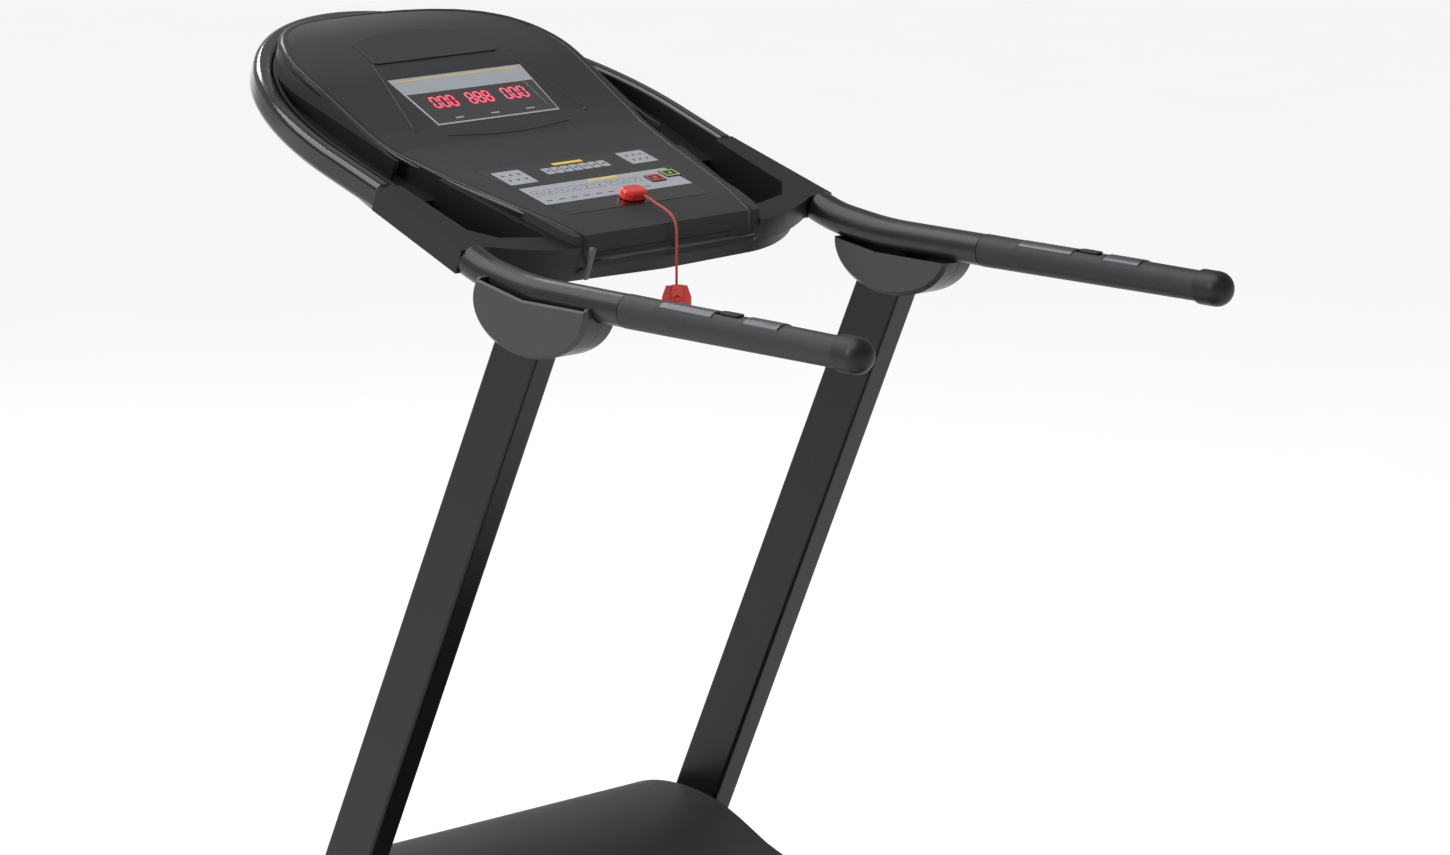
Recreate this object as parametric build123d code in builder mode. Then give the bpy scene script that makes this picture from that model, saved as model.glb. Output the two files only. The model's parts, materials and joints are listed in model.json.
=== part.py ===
"""Folding home treadmill: base, two leaning uprights, round console on two handrails, folding running deck.

Millimetres. +X is the runner's right, +Y the way the runner faces, +Z up.
The origin is on the floor under the middle of the machine.
"""
import os
from math import atan2, cos, degrees, hypot, pi, radians, sin, tan

from build123d import *

os.makedirs("parts", exist_ok=True)

SIDES = (("left", -1), ("right", 1))

# base
BASE_X = 320            # middle plane of the side tubes and of the uprights
BASE_TUBE_WIDTH = 40
BASE_TUBE_HEIGHT = 50
FOOT_HEIGHT = 10
BASE_REAR_Y = -90
BASE_FRONT_Y = 776
BASE_TOP_Z = FOOT_HEIGHT + BASE_TUBE_HEIGHT
STEEL = 2               # wall of every steel tube
WHEEL_RADIUS = 32
WHEEL_Y = 811
WHEEL_Z = 36

# uprights
UPRIGHT_WIDTH = 38
UPRIGHT_DEPTH = 70
LEAN = 24.1             # degrees back from vertical, the top nearer to the runner
UPRIGHT_FOOT_Y = 571
UPRIGHT_TOP_Z = 972

# deck
PIVOT_Y = 560
PIVOT_Z = 125
DECK_REAR_Y = -852
RAIL_X = 245            # middle of the deck rails
RAIL_WIDTH = 30
RAIL_BOTTOM_Z = 100
RAIL_TOP_Z = 150
RAIL_REAR_Y = -825
RAIL_FRONT_Y = 606
BELT_HALF_WIDTH = 200
BELT_THICKNESS = 2
BOARD_TOP_Z = 178
BOARD_THICKNESS = 18
ROLLER_RADIUS = 24
ROLLER_Z = 154.4
FRONT_ROLLER_Y = 345
REAR_ROLLER_Y = -800
ROLLER_PULLEY_RADIUS = 36
AXLE_RADIUS = 6
MOTOR_Y = 480
MOTOR_Z = 185
MOTOR_RADIUS = 45
MOTOR_PULLEY_RADIUS = 15
PULLEY_X = -217         # middle of both drive pulleys
HOOD_REAR_Y = 300
HOOD_FRONT_Y = 616
HOOD_HALF_WIDTH = 268
FOOT_RAIL_INNER_X = 205
FOOT_RAIL_OUTER_X = 280
FOOT_RAIL_TOP_Z = 192
INCLINE_FOOT_Y = -740
INCLINE_AXIS_Z = 46

# gas strut, between the base and a deck cross tube
STRUT_BASE_Y = 560
STRUT_BASE_Z = 46
STRUT_DECK_Y = 210
STRUT_DECK_Z = 75
STRUT_PIN_RADIUS = 4
STRUT_EYE_PLAY = 6.8    # room in the rod eye, which the bushed eye of the real strut also has

# handrails, given for the right side
RAIL_JOINT = (307, 279, 1035.5)
RAIL_KNEE = (308.5, 246, 1023.2)
RAIL_BEND = (314.5, 170, 1010)
RAIL_END = (322.5, -347.5, 996)
GRIP_FRACTION = 0.3067  # the grip starts this far from the bend towards the end
RAIL_TUBE_RADIUS = 16
SLEEVE_RADIUS = 20
GRIP_LENGTH = 336

# console, drawn in a plane tilted up towards the front, u up the slope and n square to it
CONSOLE_Y = 279
CONSOLE_Z = 1035.5
CONSOLE_TILT = 20.5
HOOP_CENTRE_U = 260
HOOP_OUTER = (312, 348)  # half width and length of the round front of the hoop
HOOP_WIDTH = 24
HOOP_HEIGHT = 34
HOOP_SEAM_U = 170        # where the glossy hoop meets the matt arms
PANEL_BOTTOM_N = -10
DISPLAY_U = 330
DISPLAY_N = 29
DISPLAY_TILT = 31.5
KEYPAD_U = 98
KEYPAD_N = 21.4
KEYPAD_TILT = 17.1
KEYPAD_RISE = 0.3        # the overlay stands this far above the panel


def keep(node_name, builder):
    """Label a finished piece and write it as a STEP of that name."""
    builder.part.label = node_name
    export_step(builder.part, f"parts/{node_name}.step")


def keep_group(node_name, *builders):
    """Write several pieces, each still a solid of its own, as one node."""
    group = Compound([solid for builder in builders for solid in builder.part.solids()])
    group.label = node_name
    export_step(group, f"parts/{node_name}.step")


def mirrored(point, side):
    return Vector(point[0] * side, point[1], point[2])


def rail_points(side):
    """Joint, knee, bend, start of the grip and end of one handrail."""
    joint = mirrored(RAIL_JOINT, side)
    knee = mirrored(RAIL_KNEE, side)
    bend = mirrored(RAIL_BEND, side)
    end = mirrored(RAIL_END, side)
    return joint, knee, bend, bend + (end - bend) * GRIP_FRACTION, end


def upright_y(z):
    """Middle of the upright at a height."""
    return UPRIGHT_FOOT_Y - (z - BASE_TOP_Z) * tan(radians(LEAN))


def tilted_plane(x, y, z, tilt):
    """Plane whose local y runs up a slope towards the front and whose normal leans back to the runner."""
    t = radians(tilt)
    return Plane(origin=(x, y, z), x_dir=(1, 0, 0), z_dir=(0, -sin(t), cos(t)))


def console_point(x, u, n):
    t = radians(CONSOLE_TILT)
    return Vector(x, CONSOLE_Y + u * cos(t) - n * sin(t), CONSOLE_Z + u * sin(t) + n * cos(t))


console_plane = tilted_plane(0, CONSOLE_Y, CONSOLE_Z, CONSOLE_TILT)
display_plane = tilted_plane(*console_point(0, DISPLAY_U, DISPLAY_N), DISPLAY_TILT)
keypad_plane = tilted_plane(*console_point(0, KEYPAD_U, KEYPAD_N), KEYPAD_TILT)
# side views: local x runs up the slope or forward, local y up, the normal points to the runner's left
console_side = Plane(origin=console_plane.origin, x_dir=console_plane.y_dir, z_dir=(1, 0, 0))


def across(x, y, z):
    """Plane at a point with its normal along +X, local x forward and local y up."""
    return Plane(origin=(x, y, z), x_dir=(0, 1, 0), z_dir=(1, 0, 0))


# ---------------------------------------------------------------- base

base_tube_z = FOOT_HEIGHT + BASE_TUBE_HEIGHT / 2
with BuildPart() as base_side_tubes:
    for _, side in SIDES:
        with BuildSketch(
            Plane(origin=(side * BASE_X, BASE_REAR_Y, base_tube_z), x_dir=(1, 0, 0), z_dir=(0, 1, 0))
        ):
            RectangleRounded(BASE_TUBE_WIDTH, BASE_TUBE_HEIGHT, 5)
            RectangleRounded(
                BASE_TUBE_WIDTH - 2 * STEEL, BASE_TUBE_HEIGHT - 2 * STEEL, 3, mode=Mode.SUBTRACT
            )
        extrude(amount=BASE_FRONT_Y - BASE_REAR_Y)
keep("base_side_tubes", base_side_tubes)

CROSS_SIZE = 40
CROSS_YS = (-60, 625, 745)
cross_span = 2 * (BASE_X - BASE_TUBE_WIDTH / 2)
with BuildPart() as base_cross_tubes:
    for y in CROSS_YS:
        with BuildSketch(across(-cross_span / 2, y, 32)):
            RectangleRounded(CROSS_SIZE, CROSS_SIZE, 4)
            RectangleRounded(CROSS_SIZE - 2 * STEEL, CROSS_SIZE - 2 * STEEL, 2, mode=Mode.SUBTRACT)
        extrude(amount=cross_span)
keep("base_cross_tubes", base_cross_tubes)

with BuildPart() as base_end_plugs:
    for _, side in SIDES:
        with Locations((side * BASE_X, BASE_REAR_Y - 2, base_tube_z)):
            Box(BASE_TUBE_WIDTH, 4, BASE_TUBE_HEIGHT)
        with Locations((side * BASE_X, BASE_REAR_Y + 8, base_tube_z)):
            Box(BASE_TUBE_WIDTH - 2 * STEEL - 2, 16, BASE_TUBE_HEIGHT - 2 * STEEL - 2)
    fillet(base_end_plugs.faces().sort_by(Axis.Y)[0:2].edges(), radius=1.5)

FOOT_PAD_YS = (-60, 700)
with BuildPart() as base_foot_pads:
    for _, side in SIDES:
        for y in FOOT_PAD_YS:
            with Locations((side * BASE_X, y, FOOT_HEIGHT / 2)):
                Cylinder(radius=22, height=FOOT_HEIGHT)
    chamfer(base_foot_pads.faces().sort_by(Axis.Z)[0:4].edges(), length=2)
keep_group("base_foot_pads_and_plugs", base_foot_pads, base_end_plugs)

BRACKET_X = 294
with BuildPart() as deck_pivot_brackets:
    for _, side in SIDES:
        with BuildSketch(across(side * (BRACKET_X + 3), PIVOT_Y, 0)):
            with Locations((0, (PIVOT_Z + 20) / 2)):
                Rectangle(70, PIVOT_Z - 20)
            with Locations((0, PIVOT_Z)):
                Circle(25)
        extrude(amount=3, both=True)
    with Locations(Plane(origin=(0, PIVOT_Y, PIVOT_Z), z_dir=(1, 0, 0))):
        Cylinder(radius=6, height=700, mode=Mode.SUBTRACT)

with BuildPart() as pivot_pins:
    for _, side in SIDES:
        with BuildSketch(across(side * 215, PIVOT_Y, PIVOT_Z)):
            Circle(6)
        extrude(amount=side * (BRACKET_X + 6 - 215))

with BuildPart() as wheel_forks:
    for _, side in SIDES:
        for x in (BASE_X - 16.5, BASE_X + 16.5):
            with BuildSketch(across(side * x, 0, 0)):
                with Locations((782, WHEEL_Z)):
                    Rectangle(84, 26)
                with Locations((WHEEL_Y + 6, WHEEL_Z)):
                    Circle(13)
            extrude(amount=1.5, both=True)
    with Locations(Plane(origin=(0, WHEEL_Y, WHEEL_Z), z_dir=(1, 0, 0))):
        Cylinder(radius=4, height=700, mode=Mode.SUBTRACT)

with BuildPart() as wheel_axles:
    for _, side in SIDES:
        with Locations(Plane(origin=(side * BASE_X, WHEEL_Y, WHEEL_Z), z_dir=(1, 0, 0))):
            Cylinder(radius=4, height=36)

for side_name, side in SIDES:
    with BuildPart() as transport_wheel:
        with Locations(Plane(origin=(side * BASE_X, WHEEL_Y, WHEEL_Z), z_dir=(1, 0, 0))):
            Cylinder(radius=WHEEL_RADIUS, height=24)
            fillet(transport_wheel.edges(), radius=4)
            Cylinder(radius=4.1, height=40, mode=Mode.SUBTRACT)
        for face_side in (-1, 1):
            with BuildSketch(across(side * BASE_X + face_side * 12, WHEEL_Y, WHEEL_Z)):
                Circle(23)
                Circle(10, mode=Mode.SUBTRACT)
            extrude(amount=-face_side * 6, mode=Mode.SUBTRACT)
    keep(f"transport_wheel_{side_name}", transport_wheel)

# ---------------------------------------------------------------- uprights

upright_slant = (0, -sin(radians(LEAN)), cos(radians(LEAN)))
upright_cut_depth = UPRIGHT_DEPTH / cos(radians(LEAN))


def upright_length(z_start, z_end):
    return (z_end - z_start) / cos(radians(LEAN))


for side_name, side in SIDES:
    with BuildPart() as upright:
        with BuildSketch(Plane.XY.offset(BASE_TOP_Z)):
            with Locations((side * BASE_X, UPRIGHT_FOOT_Y)):
                RectangleRounded(UPRIGHT_WIDTH, upright_cut_depth, 5)
                RectangleRounded(
                    UPRIGHT_WIDTH - 2 * STEEL, upright_cut_depth - 2 * STEEL, 3, mode=Mode.SUBTRACT
                )
        extrude(amount=upright_length(BASE_TOP_Z, UPRIGHT_TOP_Z), dir=upright_slant)
    keep(f"upright_{side_name}", upright)

SOCKET_TOP_Z = 210
with BuildPart() as upright_sockets:
    with BuildSketch(Plane.XY.offset(BASE_TOP_Z)):
        for _, side in SIDES:
            with Locations((side * BASE_X, UPRIGHT_FOOT_Y)):
                RectangleRounded(33.4, upright_cut_depth - 4.6, 2.6)
                RectangleRounded(29.4, upright_cut_depth - 8.6, 1, mode=Mode.SUBTRACT)
    extrude(amount=upright_length(BASE_TOP_Z, SOCKET_TOP_Z), dir=upright_slant)

BOOT_TOP_Z = 140
upright_boots = []
for _, side in SIDES:
    with BuildPart() as upright_boot:
        with BuildSketch(Plane.XY.offset(BASE_TOP_Z + 0.3)):
            with Locations((side * (BASE_X + 3.5), UPRIGHT_FOOT_Y)):
                RectangleRounded(45, upright_cut_depth + 26, 6)
            with Locations((side * (BASE_X - 3), UPRIGHT_FOOT_Y)):
                Rectangle(UPRIGHT_WIDTH + 6.6, upright_cut_depth + 0.6, mode=Mode.SUBTRACT)
        extrude(amount=upright_length(BASE_TOP_Z, BOOT_TOP_Z), dir=upright_slant)
        chamfer(upright_boot.faces().sort_by(Axis.Z)[-1].outer_wire().edges(), length=2)
    upright_boots.append(upright_boot)
keep_group("upright_boots", *upright_boots)

BOLT_ZS = (160, 188)
with BuildPart() as upright_bolts:
    for _, side in SIDES:
        for z in BOLT_ZS:
            with BuildSketch(across(side * (BASE_X + UPRIGHT_WIDTH / 2), upright_y(z), z)):
                Circle(7)
            extrude(amount=side * 4)
    fillet(upright_bolts.faces().filter_by(Axis.X).sort_by(SortBy.DISTANCE)[-4:].edges(), radius=1.5)

# ---------------------------------------------------------------- handrails

handrail_tubes = []
rail_sleeves = []
for side_name, side in SIDES:
    joint, knee, bend, grip_start, rail_end = rail_points(side)
    start_plane = Plane(origin=joint, z_dir=(knee - joint))
    grip_plane = Plane(origin=grip_start, x_dir=(1, 0, 0), z_dir=(rail_end - grip_start))

    with BuildPart() as handrail_tube:
        with BuildLine() as tube_path:
            FilletPolyline(
                joint, knee, bend, grip_start + grip_plane.z_dir * (GRIP_LENGTH + 18), radius=(200, 400)
            )
        with BuildSketch(start_plane):
            Circle(RAIL_TUBE_RADIUS)
            Circle(RAIL_TUBE_RADIUS - STEEL, mode=Mode.SUBTRACT)
        sweep()
    handrail_tubes.append(handrail_tube)

    with BuildPart() as rail_sleeve:
        with BuildLine() as sleeve_path:
            FilletPolyline(joint, knee, bend, grip_start, radius=(200, 400))
        with BuildSketch(start_plane):
            Circle(SLEEVE_RADIUS)
            Circle(RAIL_TUBE_RADIUS, mode=Mode.SUBTRACT)
        sweep()
    rail_sleeves.append(rail_sleeve)

    with BuildPart() as grip:
        with BuildSketch(grip_plane.offset(0.6)):
            Circle(20.5)
        with BuildSketch(grip_plane.offset(GRIP_LENGTH)):
            Circle(18.6)
        loft()
        fillet(grip.faces().sort_by(Axis.Y)[-1].edges(), radius=1.5)
        with BuildSketch(grip_plane):
            Circle(RAIL_TUBE_RADIUS)
        extrude(amount=GRIP_LENGTH + 1, mode=Mode.SUBTRACT)
        # beds for the two sensor plates
        for start, length in ((62, 83), (195, 54)):
            with BuildSketch(grip_plane.offset(start)):
                Circle(22)
                Circle(18.6, mode=Mode.SUBTRACT)
                with Locations((0, 20)):
                    Rectangle(28, 20, mode=Mode.INTERSECT)
            extrude(amount=length, mode=Mode.SUBTRACT)
        # bed for the rocker key
        with BuildSketch(grip_plane.offset(146.5)):
            with Locations((0, 17.2 + 5)):
                Rectangle(15, 10)
        extrude(amount=38, mode=Mode.SUBTRACT)
    keep(f"grip_{side_name}", grip)

    key_bed = Plane(
        origin=grip_plane.from_local_coords((0, 18.2, 165.5)), x_dir=(1, 0, 0), z_dir=grip_plane.y_dir
    )
    with BuildPart() as rocker_key:
        with BuildSketch(key_bed):
            SlotOverall(34, 13.4, rotation=90)
        extrude(amount=3)
        fillet(rocker_key.faces().sort_by(Axis.Z)[-1].edges(), radius=1)
    keep(f"rocker_key_{side_name}", rocker_key)

keep_group("handrail_tubes", *handrail_tubes)
keep_group("rail_sleeves", *rail_sleeves)

with BuildPart() as pulse_sensor_plates:
    for _, side in SIDES:
        *_, grip_start, rail_end = rail_points(side)
        grip_plane = Plane(origin=grip_start, x_dir=(1, 0, 0), z_dir=(rail_end - grip_start))
        for start, length in ((62, 83), (195, 54)):
            with BuildSketch(grip_plane.offset(start + 0.5)):
                Circle(20.6)
                Circle(18.6, mode=Mode.SUBTRACT)
                with Locations((0, 20)):
                    Rectangle(27, 20, mode=Mode.INTERSECT)
            extrude(amount=length - 1)
keep("pulse_sensor_plates", pulse_sensor_plates)

handrail_end_caps = []
for _, side in SIDES:
    *_, grip_start, rail_end = rail_points(side)
    cap_plane = Plane(origin=grip_start, x_dir=(1, 0, 0), z_dir=(rail_end - grip_start))
    with BuildPart() as handrail_end_cap:
        with BuildSketch(cap_plane.offset(GRIP_LENGTH)):
            Circle(21.5)
        extrude(amount=43)
        fillet(handrail_end_cap.faces().sort_by(Axis.Y)[0].edges(), radius=20)
        chamfer(handrail_end_cap.faces().sort_by(Axis.Y)[-1].edges(), length=1.5)
        with BuildSketch(cap_plane.offset(GRIP_LENGTH - 1)):
            Circle(RAIL_TUBE_RADIUS)
        extrude(amount=19.5, mode=Mode.SUBTRACT)
    handrail_end_caps.append(handrail_end_cap)
keep_group("handrail_end_caps", *handrail_end_caps)

COVER_HALF_LENGTH = 95
COVER_DEPTH = 62
COVER_Y = 147
COVER_Z = 999
COVER_OUTER_X = 346
COVER_INNER_X = 291
COVER_WALL = 2.6
COVER_ROUND = 5


def cover_sketch(x, inset=0):
    """Shield outline of a bracket cover at one x, cut off along the top by the handrail."""
    with BuildSketch(across(x, COVER_Y, COVER_Z)) as outline:
        Ellipse(COVER_HALF_LENGTH - inset, COVER_DEPTH - inset)
        with BuildLine():
            Polyline((-110, 6), (10, 9), (100, 30), (100, -80), (-110, -80), close=True)
        make_face(mode=Mode.INTERSECT)
    return outline.sketch


side = -1
left_shells = []
for x_face, x_mid in ((COVER_OUTER_X, BASE_X - 1.7), (COVER_INNER_X, BASE_X - 2.3)):
    reach = (x_mid - x_face) * side
    wall = COVER_WALL if reach > 0 else -COVER_WALL
    with BuildPart() as bracket_cover:
        extrude(cover_sketch(side * x_face), amount=reach)
        flat_faces = bracket_cover.faces().filter_by(Axis.X).sort_by(Axis.X)
        chamfer(flat_faces[0 if reach > 0 else -1].edges(), length=COVER_ROUND)
        extrude(
            cover_sketch(side * x_face + wall, COVER_WALL + COVER_ROUND / 2),
            amount=reach,
            mode=Mode.SUBTRACT,
        )
        # room for the handrail sleeve: the outer shell closes round it, the inner ends below it
        joint, knee, bend, grip_start, _ = rail_points(side)
        under = SLEEVE_RADIUS + 0.5
        if reach * side < 0:
            with BuildLine() as sleeve_path:
                FilletPolyline(joint, knee, bend, grip_start, radius=(200, 400))
            with BuildSketch(Plane(origin=sleeve_path.line @ 0, z_dir=sleeve_path.line % 0)):
                Circle(under)
            sweep(path=sleeve_path.line, mode=Mode.SUBTRACT)
        else:
            with BuildSketch(across(side * 250, 0, 0)):
                with BuildLine():
                    Polyline(
                        (joint.Y + 8, joint.Z - under + 3),
                        (knee.Y, knee.Z - under),
                        (bend.Y, bend.Z - under),
                        (grip_start.Y, grip_start.Z - under),
                        (grip_start.Y, joint.Z + 25),
                        (joint.Y + 8, joint.Z + 25),
                        close=True,
                    )
                make_face()
            extrude(amount=side * 120, mode=Mode.SUBTRACT)
        # room for the upright
        with BuildSketch(Plane.XY.offset(BASE_TOP_Z)):
            with Locations((side * BASE_X, UPRIGHT_FOOT_Y)):
                Rectangle(UPRIGHT_WIDTH + 0.6, upright_cut_depth + 0.6)
        extrude(amount=upright_length(BASE_TOP_Z, 1040), dir=upright_slant, mode=Mode.SUBTRACT)
    left_shells.append(bracket_cover)
right_shells = []
for left_shell in left_shells:
    with BuildPart() as right_shell:
        mirror(left_shell.part, about=Plane.YZ)
    right_shells.append(right_shell)
keep_group("bracket_covers_left", *left_shells)
keep_group("bracket_covers_right", *right_shells)

with BuildPart() as saddle_brackets:
    for _, side in SIDES:
        with BuildSketch(across(side * BASE_X, 0, 0)):
            with Locations((upright_y(UPRIGHT_TOP_Z + 8), UPRIGHT_TOP_Z + 11)):
                Rectangle(50, 22)
        extrude(amount=12, both=True)
        joint, knee, bend, grip_start, _ = rail_points(side)
        with BuildLine() as clear_path:
            FilletPolyline(joint, knee, bend, grip_start, radius=(200, 400))
        with BuildSketch(Plane(origin=clear_path.line @ 0, z_dir=clear_path.line % 0)):
            Circle(SLEEVE_RADIUS)
        sweep(path=clear_path.line, mode=Mode.SUBTRACT)

SPIGOT_RADIUS = 9
with BuildPart() as console_spigots:
    for _, side in SIDES:
        spigot_plane = Plane(
            origin=mirrored(RAIL_JOINT, side), x_dir=(1, 0, 0), z_dir=console_plane.y_dir
        )
        with BuildSketch(spigot_plane.offset(-14)):
            Circle(RAIL_TUBE_RADIUS - STEEL - 1)
        extrude(amount=14)
        with BuildSketch(spigot_plane):
            Circle(SPIGOT_RADIUS)
        extrude(amount=70)

# ---------------------------------------------------------------- console


def panel_outline(inset=0):
    """Half outline of the raised middle panel, right side, from the lip to the front apex."""
    lip_x = 148 - inset
    side_x = 232 - inset
    front_length = 178 - inset
    ThreePointArc((0, -47 + inset), (lip_x / 2, -46 + inset), (lip_x, -41 + inset))
    Spline(
        (lip_x, -41 + inset),
        (163 - inset, -26 + inset),
        (178 - inset, 60),
        (203 - inset, 170),
        (225 - inset, 270),
        (side_x, 400),
        tangents=((1, 0.2), (0, 1)),
    )
    EllipticalCenterArc((0, 400), side_x, front_length, start_angle=0, arc_size=90)


def panel_profile(inset=0):
    """Side view of the same panel, u along the slope and n square to it."""
    bottom_n = PANEL_BOTTOM_N - 3 * inset
    lip_slope = 19 / 35
    Polyline(
        (600, bottom_n),
        (-43 + inset - 3 * inset * lip_slope, bottom_n),
        (-24 + inset, 25 - inset),
        (27, 25.5 - inset),
        (169, 17 - inset),
        (240, 15 - inset),
        (284, 20 - inset),
        (377, 38 - inset),
    )
    Spline(
        (377, 38 - inset),
        (437, 44.5 - inset),
        (490, 45 - inset),
        (545, 35 - inset),
        (600, 8 - inset),
        tangents=((93, 18), (1, -0.9)),
    )
    Line((600, 8 - inset), (600, bottom_n))


PANEL_WALL = 2.6
with BuildPart() as panel_inside:
    with BuildSketch(console_side.offset(-260)):
        with BuildLine():
            panel_profile(PANEL_WALL)
        make_face()
    extrude(amount=520)
    with BuildSketch(console_plane.offset(PANEL_BOTTOM_N - 20)):
        with BuildLine():
            panel_outline(PANEL_WALL)
            mirror(about=Plane.YZ)
        make_face()
    extrude(amount=120, mode=Mode.INTERSECT)

DISPLAY_TOP_HALF = 116
DISPLAY_BOTTOM_HALF = 106
DISPLAY_HALF_HEIGHT = 47.5
WINDOW_SIZE = (190, 48)
WINDOW_V = -8.5
KEYPAD_TOP_HALF = 150
KEYPAD_BOTTOM_HALF = 121
KEYPAD_HALF_HEIGHT = 71
START_KEY = (117, -6)
STOP_KEY = (84, -13)
KEY_SIZE = (26, 19)
BADGE_U = 441


def display_outline(grow=0):
    Polyline(
        (-DISPLAY_TOP_HALF - grow, DISPLAY_HALF_HEIGHT + grow),
        (DISPLAY_TOP_HALF + grow, DISPLAY_HALF_HEIGHT + grow),
        (DISPLAY_BOTTOM_HALF + grow, -DISPLAY_HALF_HEIGHT - grow),
        (-DISPLAY_BOTTOM_HALF - grow, -DISPLAY_HALF_HEIGHT - grow),
        close=True,
    )


def keypad_outline(grow=0):
    Polyline(
        (-KEYPAD_TOP_HALF - grow, KEYPAD_HALF_HEIGHT + grow),
        (KEYPAD_TOP_HALF + grow, KEYPAD_HALF_HEIGHT + grow),
        (KEYPAD_BOTTOM_HALF + grow, -KEYPAD_HALF_HEIGHT - grow),
        (-KEYPAD_BOTTOM_HALF - grow, -KEYPAD_HALF_HEIGHT - grow),
        close=True,
    )


badge_plane = tilted_plane(*console_point(0, BADGE_U, 44.6), CONSOLE_TILT + 2.5)
with BuildPart() as badge_plate:
    with BuildSketch(badge_plane.offset(-1.2)) as badge_outline:
        with BuildLine():
            Polyline((-100, 24), (-108, -30), (108, -30), (100, 24))
            ThreePointArc((100, 24), (0, 42), (-100, 24))
        make_face()
        fillet(badge_outline.vertices(), radius=6)
    extrude(amount=2.2)
keep("badge_plate", badge_plate)

with BuildPart() as console_upper_shell:
    with BuildSketch(console_side.offset(-260)):
        with BuildLine():
            panel_profile()
        make_face()
    extrude(amount=520)
    with BuildSketch(console_plane.offset(PANEL_BOTTOM_N)):
        with BuildLine():
            panel_outline()
            mirror(about=Plane.YZ)
        make_face()
    extrude(amount=80, mode=Mode.INTERSECT)
    add(panel_inside.part, mode=Mode.SUBTRACT)
    # window for the display panel
    with BuildSketch(display_plane.offset(-12)):
        with BuildLine():
            display_outline()
        make_face()
    extrude(amount=40, mode=Mode.SUBTRACT)
    add(badge_plate.part, mode=Mode.SUBTRACT)
    # shallow bed for the keypad overlay, and the holes for the two keys through it
    with BuildSketch(keypad_plane.offset(-0.9)):
        with BuildLine():
            keypad_outline()
        make_face()
    extrude(amount=20, mode=Mode.SUBTRACT)
    with BuildSketch(keypad_plane.offset(-12)):
        with Locations(START_KEY, STOP_KEY):
            RectangleRounded(KEY_SIZE[0] + 0.6, KEY_SIZE[1] + 0.6, 3.3)
    extrude(amount=20, mode=Mode.SUBTRACT)
keep("console_upper_shell", console_upper_shell)

TRAY_OUTER = (288, 324)  # the tub's rim meets the inside of the hoop


def tub_rim_outline():
    """Right half of the lower shell seen square to the console."""
    joint_u = 1.2
    Line((0, -40), (148, -35))
    ThreePointArc((148, -35), (222, -24), (286, joint_u))
    Polyline((286, joint_u), (327, joint_u), (312, HOOP_SEAM_U), (288, HOOP_SEAM_U), (288, HOOP_CENTRE_U))
    EllipticalCenterArc((0, HOOP_CENTRE_U), *TRAY_OUTER, start_angle=0, arc_size=90)


def tub_depth_outline():
    Line((0, -36), (148, -31))
    ThreePointArc((148, -31), (222, -19), (270, 4))
    Polyline((270, 4), (283, 40), (283, HOOP_SEAM_U))
    EllipticalCenterArc((0, HOOP_SEAM_U), 283, 322, start_angle=0, arc_size=90)


TUB_BOTTOM_N = -32
RIM_BOTTOM_N = -16
RIM_TOP_N = 15
with BuildPart() as tray_space:
    # the two side trays in front of the pockets, their floors rising to the front
    with BuildSketch(console_side.offset(-300)):
        with BuildLine():
            Polyline((HOOP_SEAM_U - 4, -13), (500, 6), (500, 40), (HOOP_SEAM_U - 4, 40), close=True)
        make_face()
    extrude(amount=600)
    with BuildSketch(console_plane.offset(-40)) as tray_plan:
        with BuildLine():
            Line((0, HOOP_SEAM_U - 4), (284, HOOP_SEAM_U - 4))
            Line((284, HOOP_SEAM_U - 4), (284, HOOP_CENTRE_U))
            EllipticalCenterArc((0, HOOP_CENTRE_U), 284, 320, start_angle=0, arc_size=90)
            mirror(about=Plane.YZ)
        make_face()
        with BuildLine():
            panel_outline(-3)
            mirror(about=Plane.YZ)
        make_face(mode=Mode.SUBTRACT)
    extrude(amount=90, mode=Mode.INTERSECT)

POCKET_FLOOR_N = -28
with BuildPart() as console_lower_shell:
    with BuildSketch(console_plane.offset(RIM_BOTTOM_N)):
        with BuildLine():
            tub_rim_outline()
            mirror(about=Plane.YZ)
        make_face()
    extrude(amount=RIM_TOP_N - RIM_BOTTOM_N)
    with BuildSketch(console_plane.offset(TUB_BOTTOM_N)):
        with BuildLine():
            tub_depth_outline()
            mirror(about=Plane.YZ)
        make_face()
    extrude(amount=RIM_BOTTOM_N - TUB_BOTTOM_N)
    # seat of the upper shell
    with BuildSketch(console_plane.offset(PANEL_BOTTOM_N)):
        with BuildLine():
            panel_outline()
            mirror(about=Plane.YZ)
        make_face()
    extrude(amount=60, mode=Mode.SUBTRACT)
    # room for the electronics
    with BuildSketch(console_plane.offset(TUB_BOTTOM_N + 4)):
        with BuildLine():
            Polyline((0, -28), (138, -24), (156, 40), (186, 165), (205, 300), (150, 430), (0, 470))
            mirror(about=Plane.YZ)
        make_face()
    extrude(amount=80, mode=Mode.SUBTRACT)
    # the two deep pockets
    for side in (-1, 1):
        with BuildSketch(console_plane.offset(POCKET_FLOOR_N)):
            with BuildLine():
                Polyline(
                    (side * 184, 2),
                    (side * 214, HOOP_SEAM_U - 4),
                    (side * 278, HOOP_SEAM_U - 4),
                    (side * 278, 44),
                    (side * 250, 16),
                    close=True,
                )
            make_face()
        extrude(amount=120, mode=Mode.SUBTRACT)
    add(tray_space.part, mode=Mode.SUBTRACT)
    # bores for the spigots in the two arms
    for side in (-1, 1):
        with BuildSketch(
            Plane(origin=mirrored(RAIL_JOINT, side), x_dir=(1, 0, 0), z_dir=console_plane.y_dir)
        ):
            Circle(SPIGOT_RADIUS)
        extrude(amount=71, mode=Mode.SUBTRACT)
keep("console_lower_shell", console_lower_shell)

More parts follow.
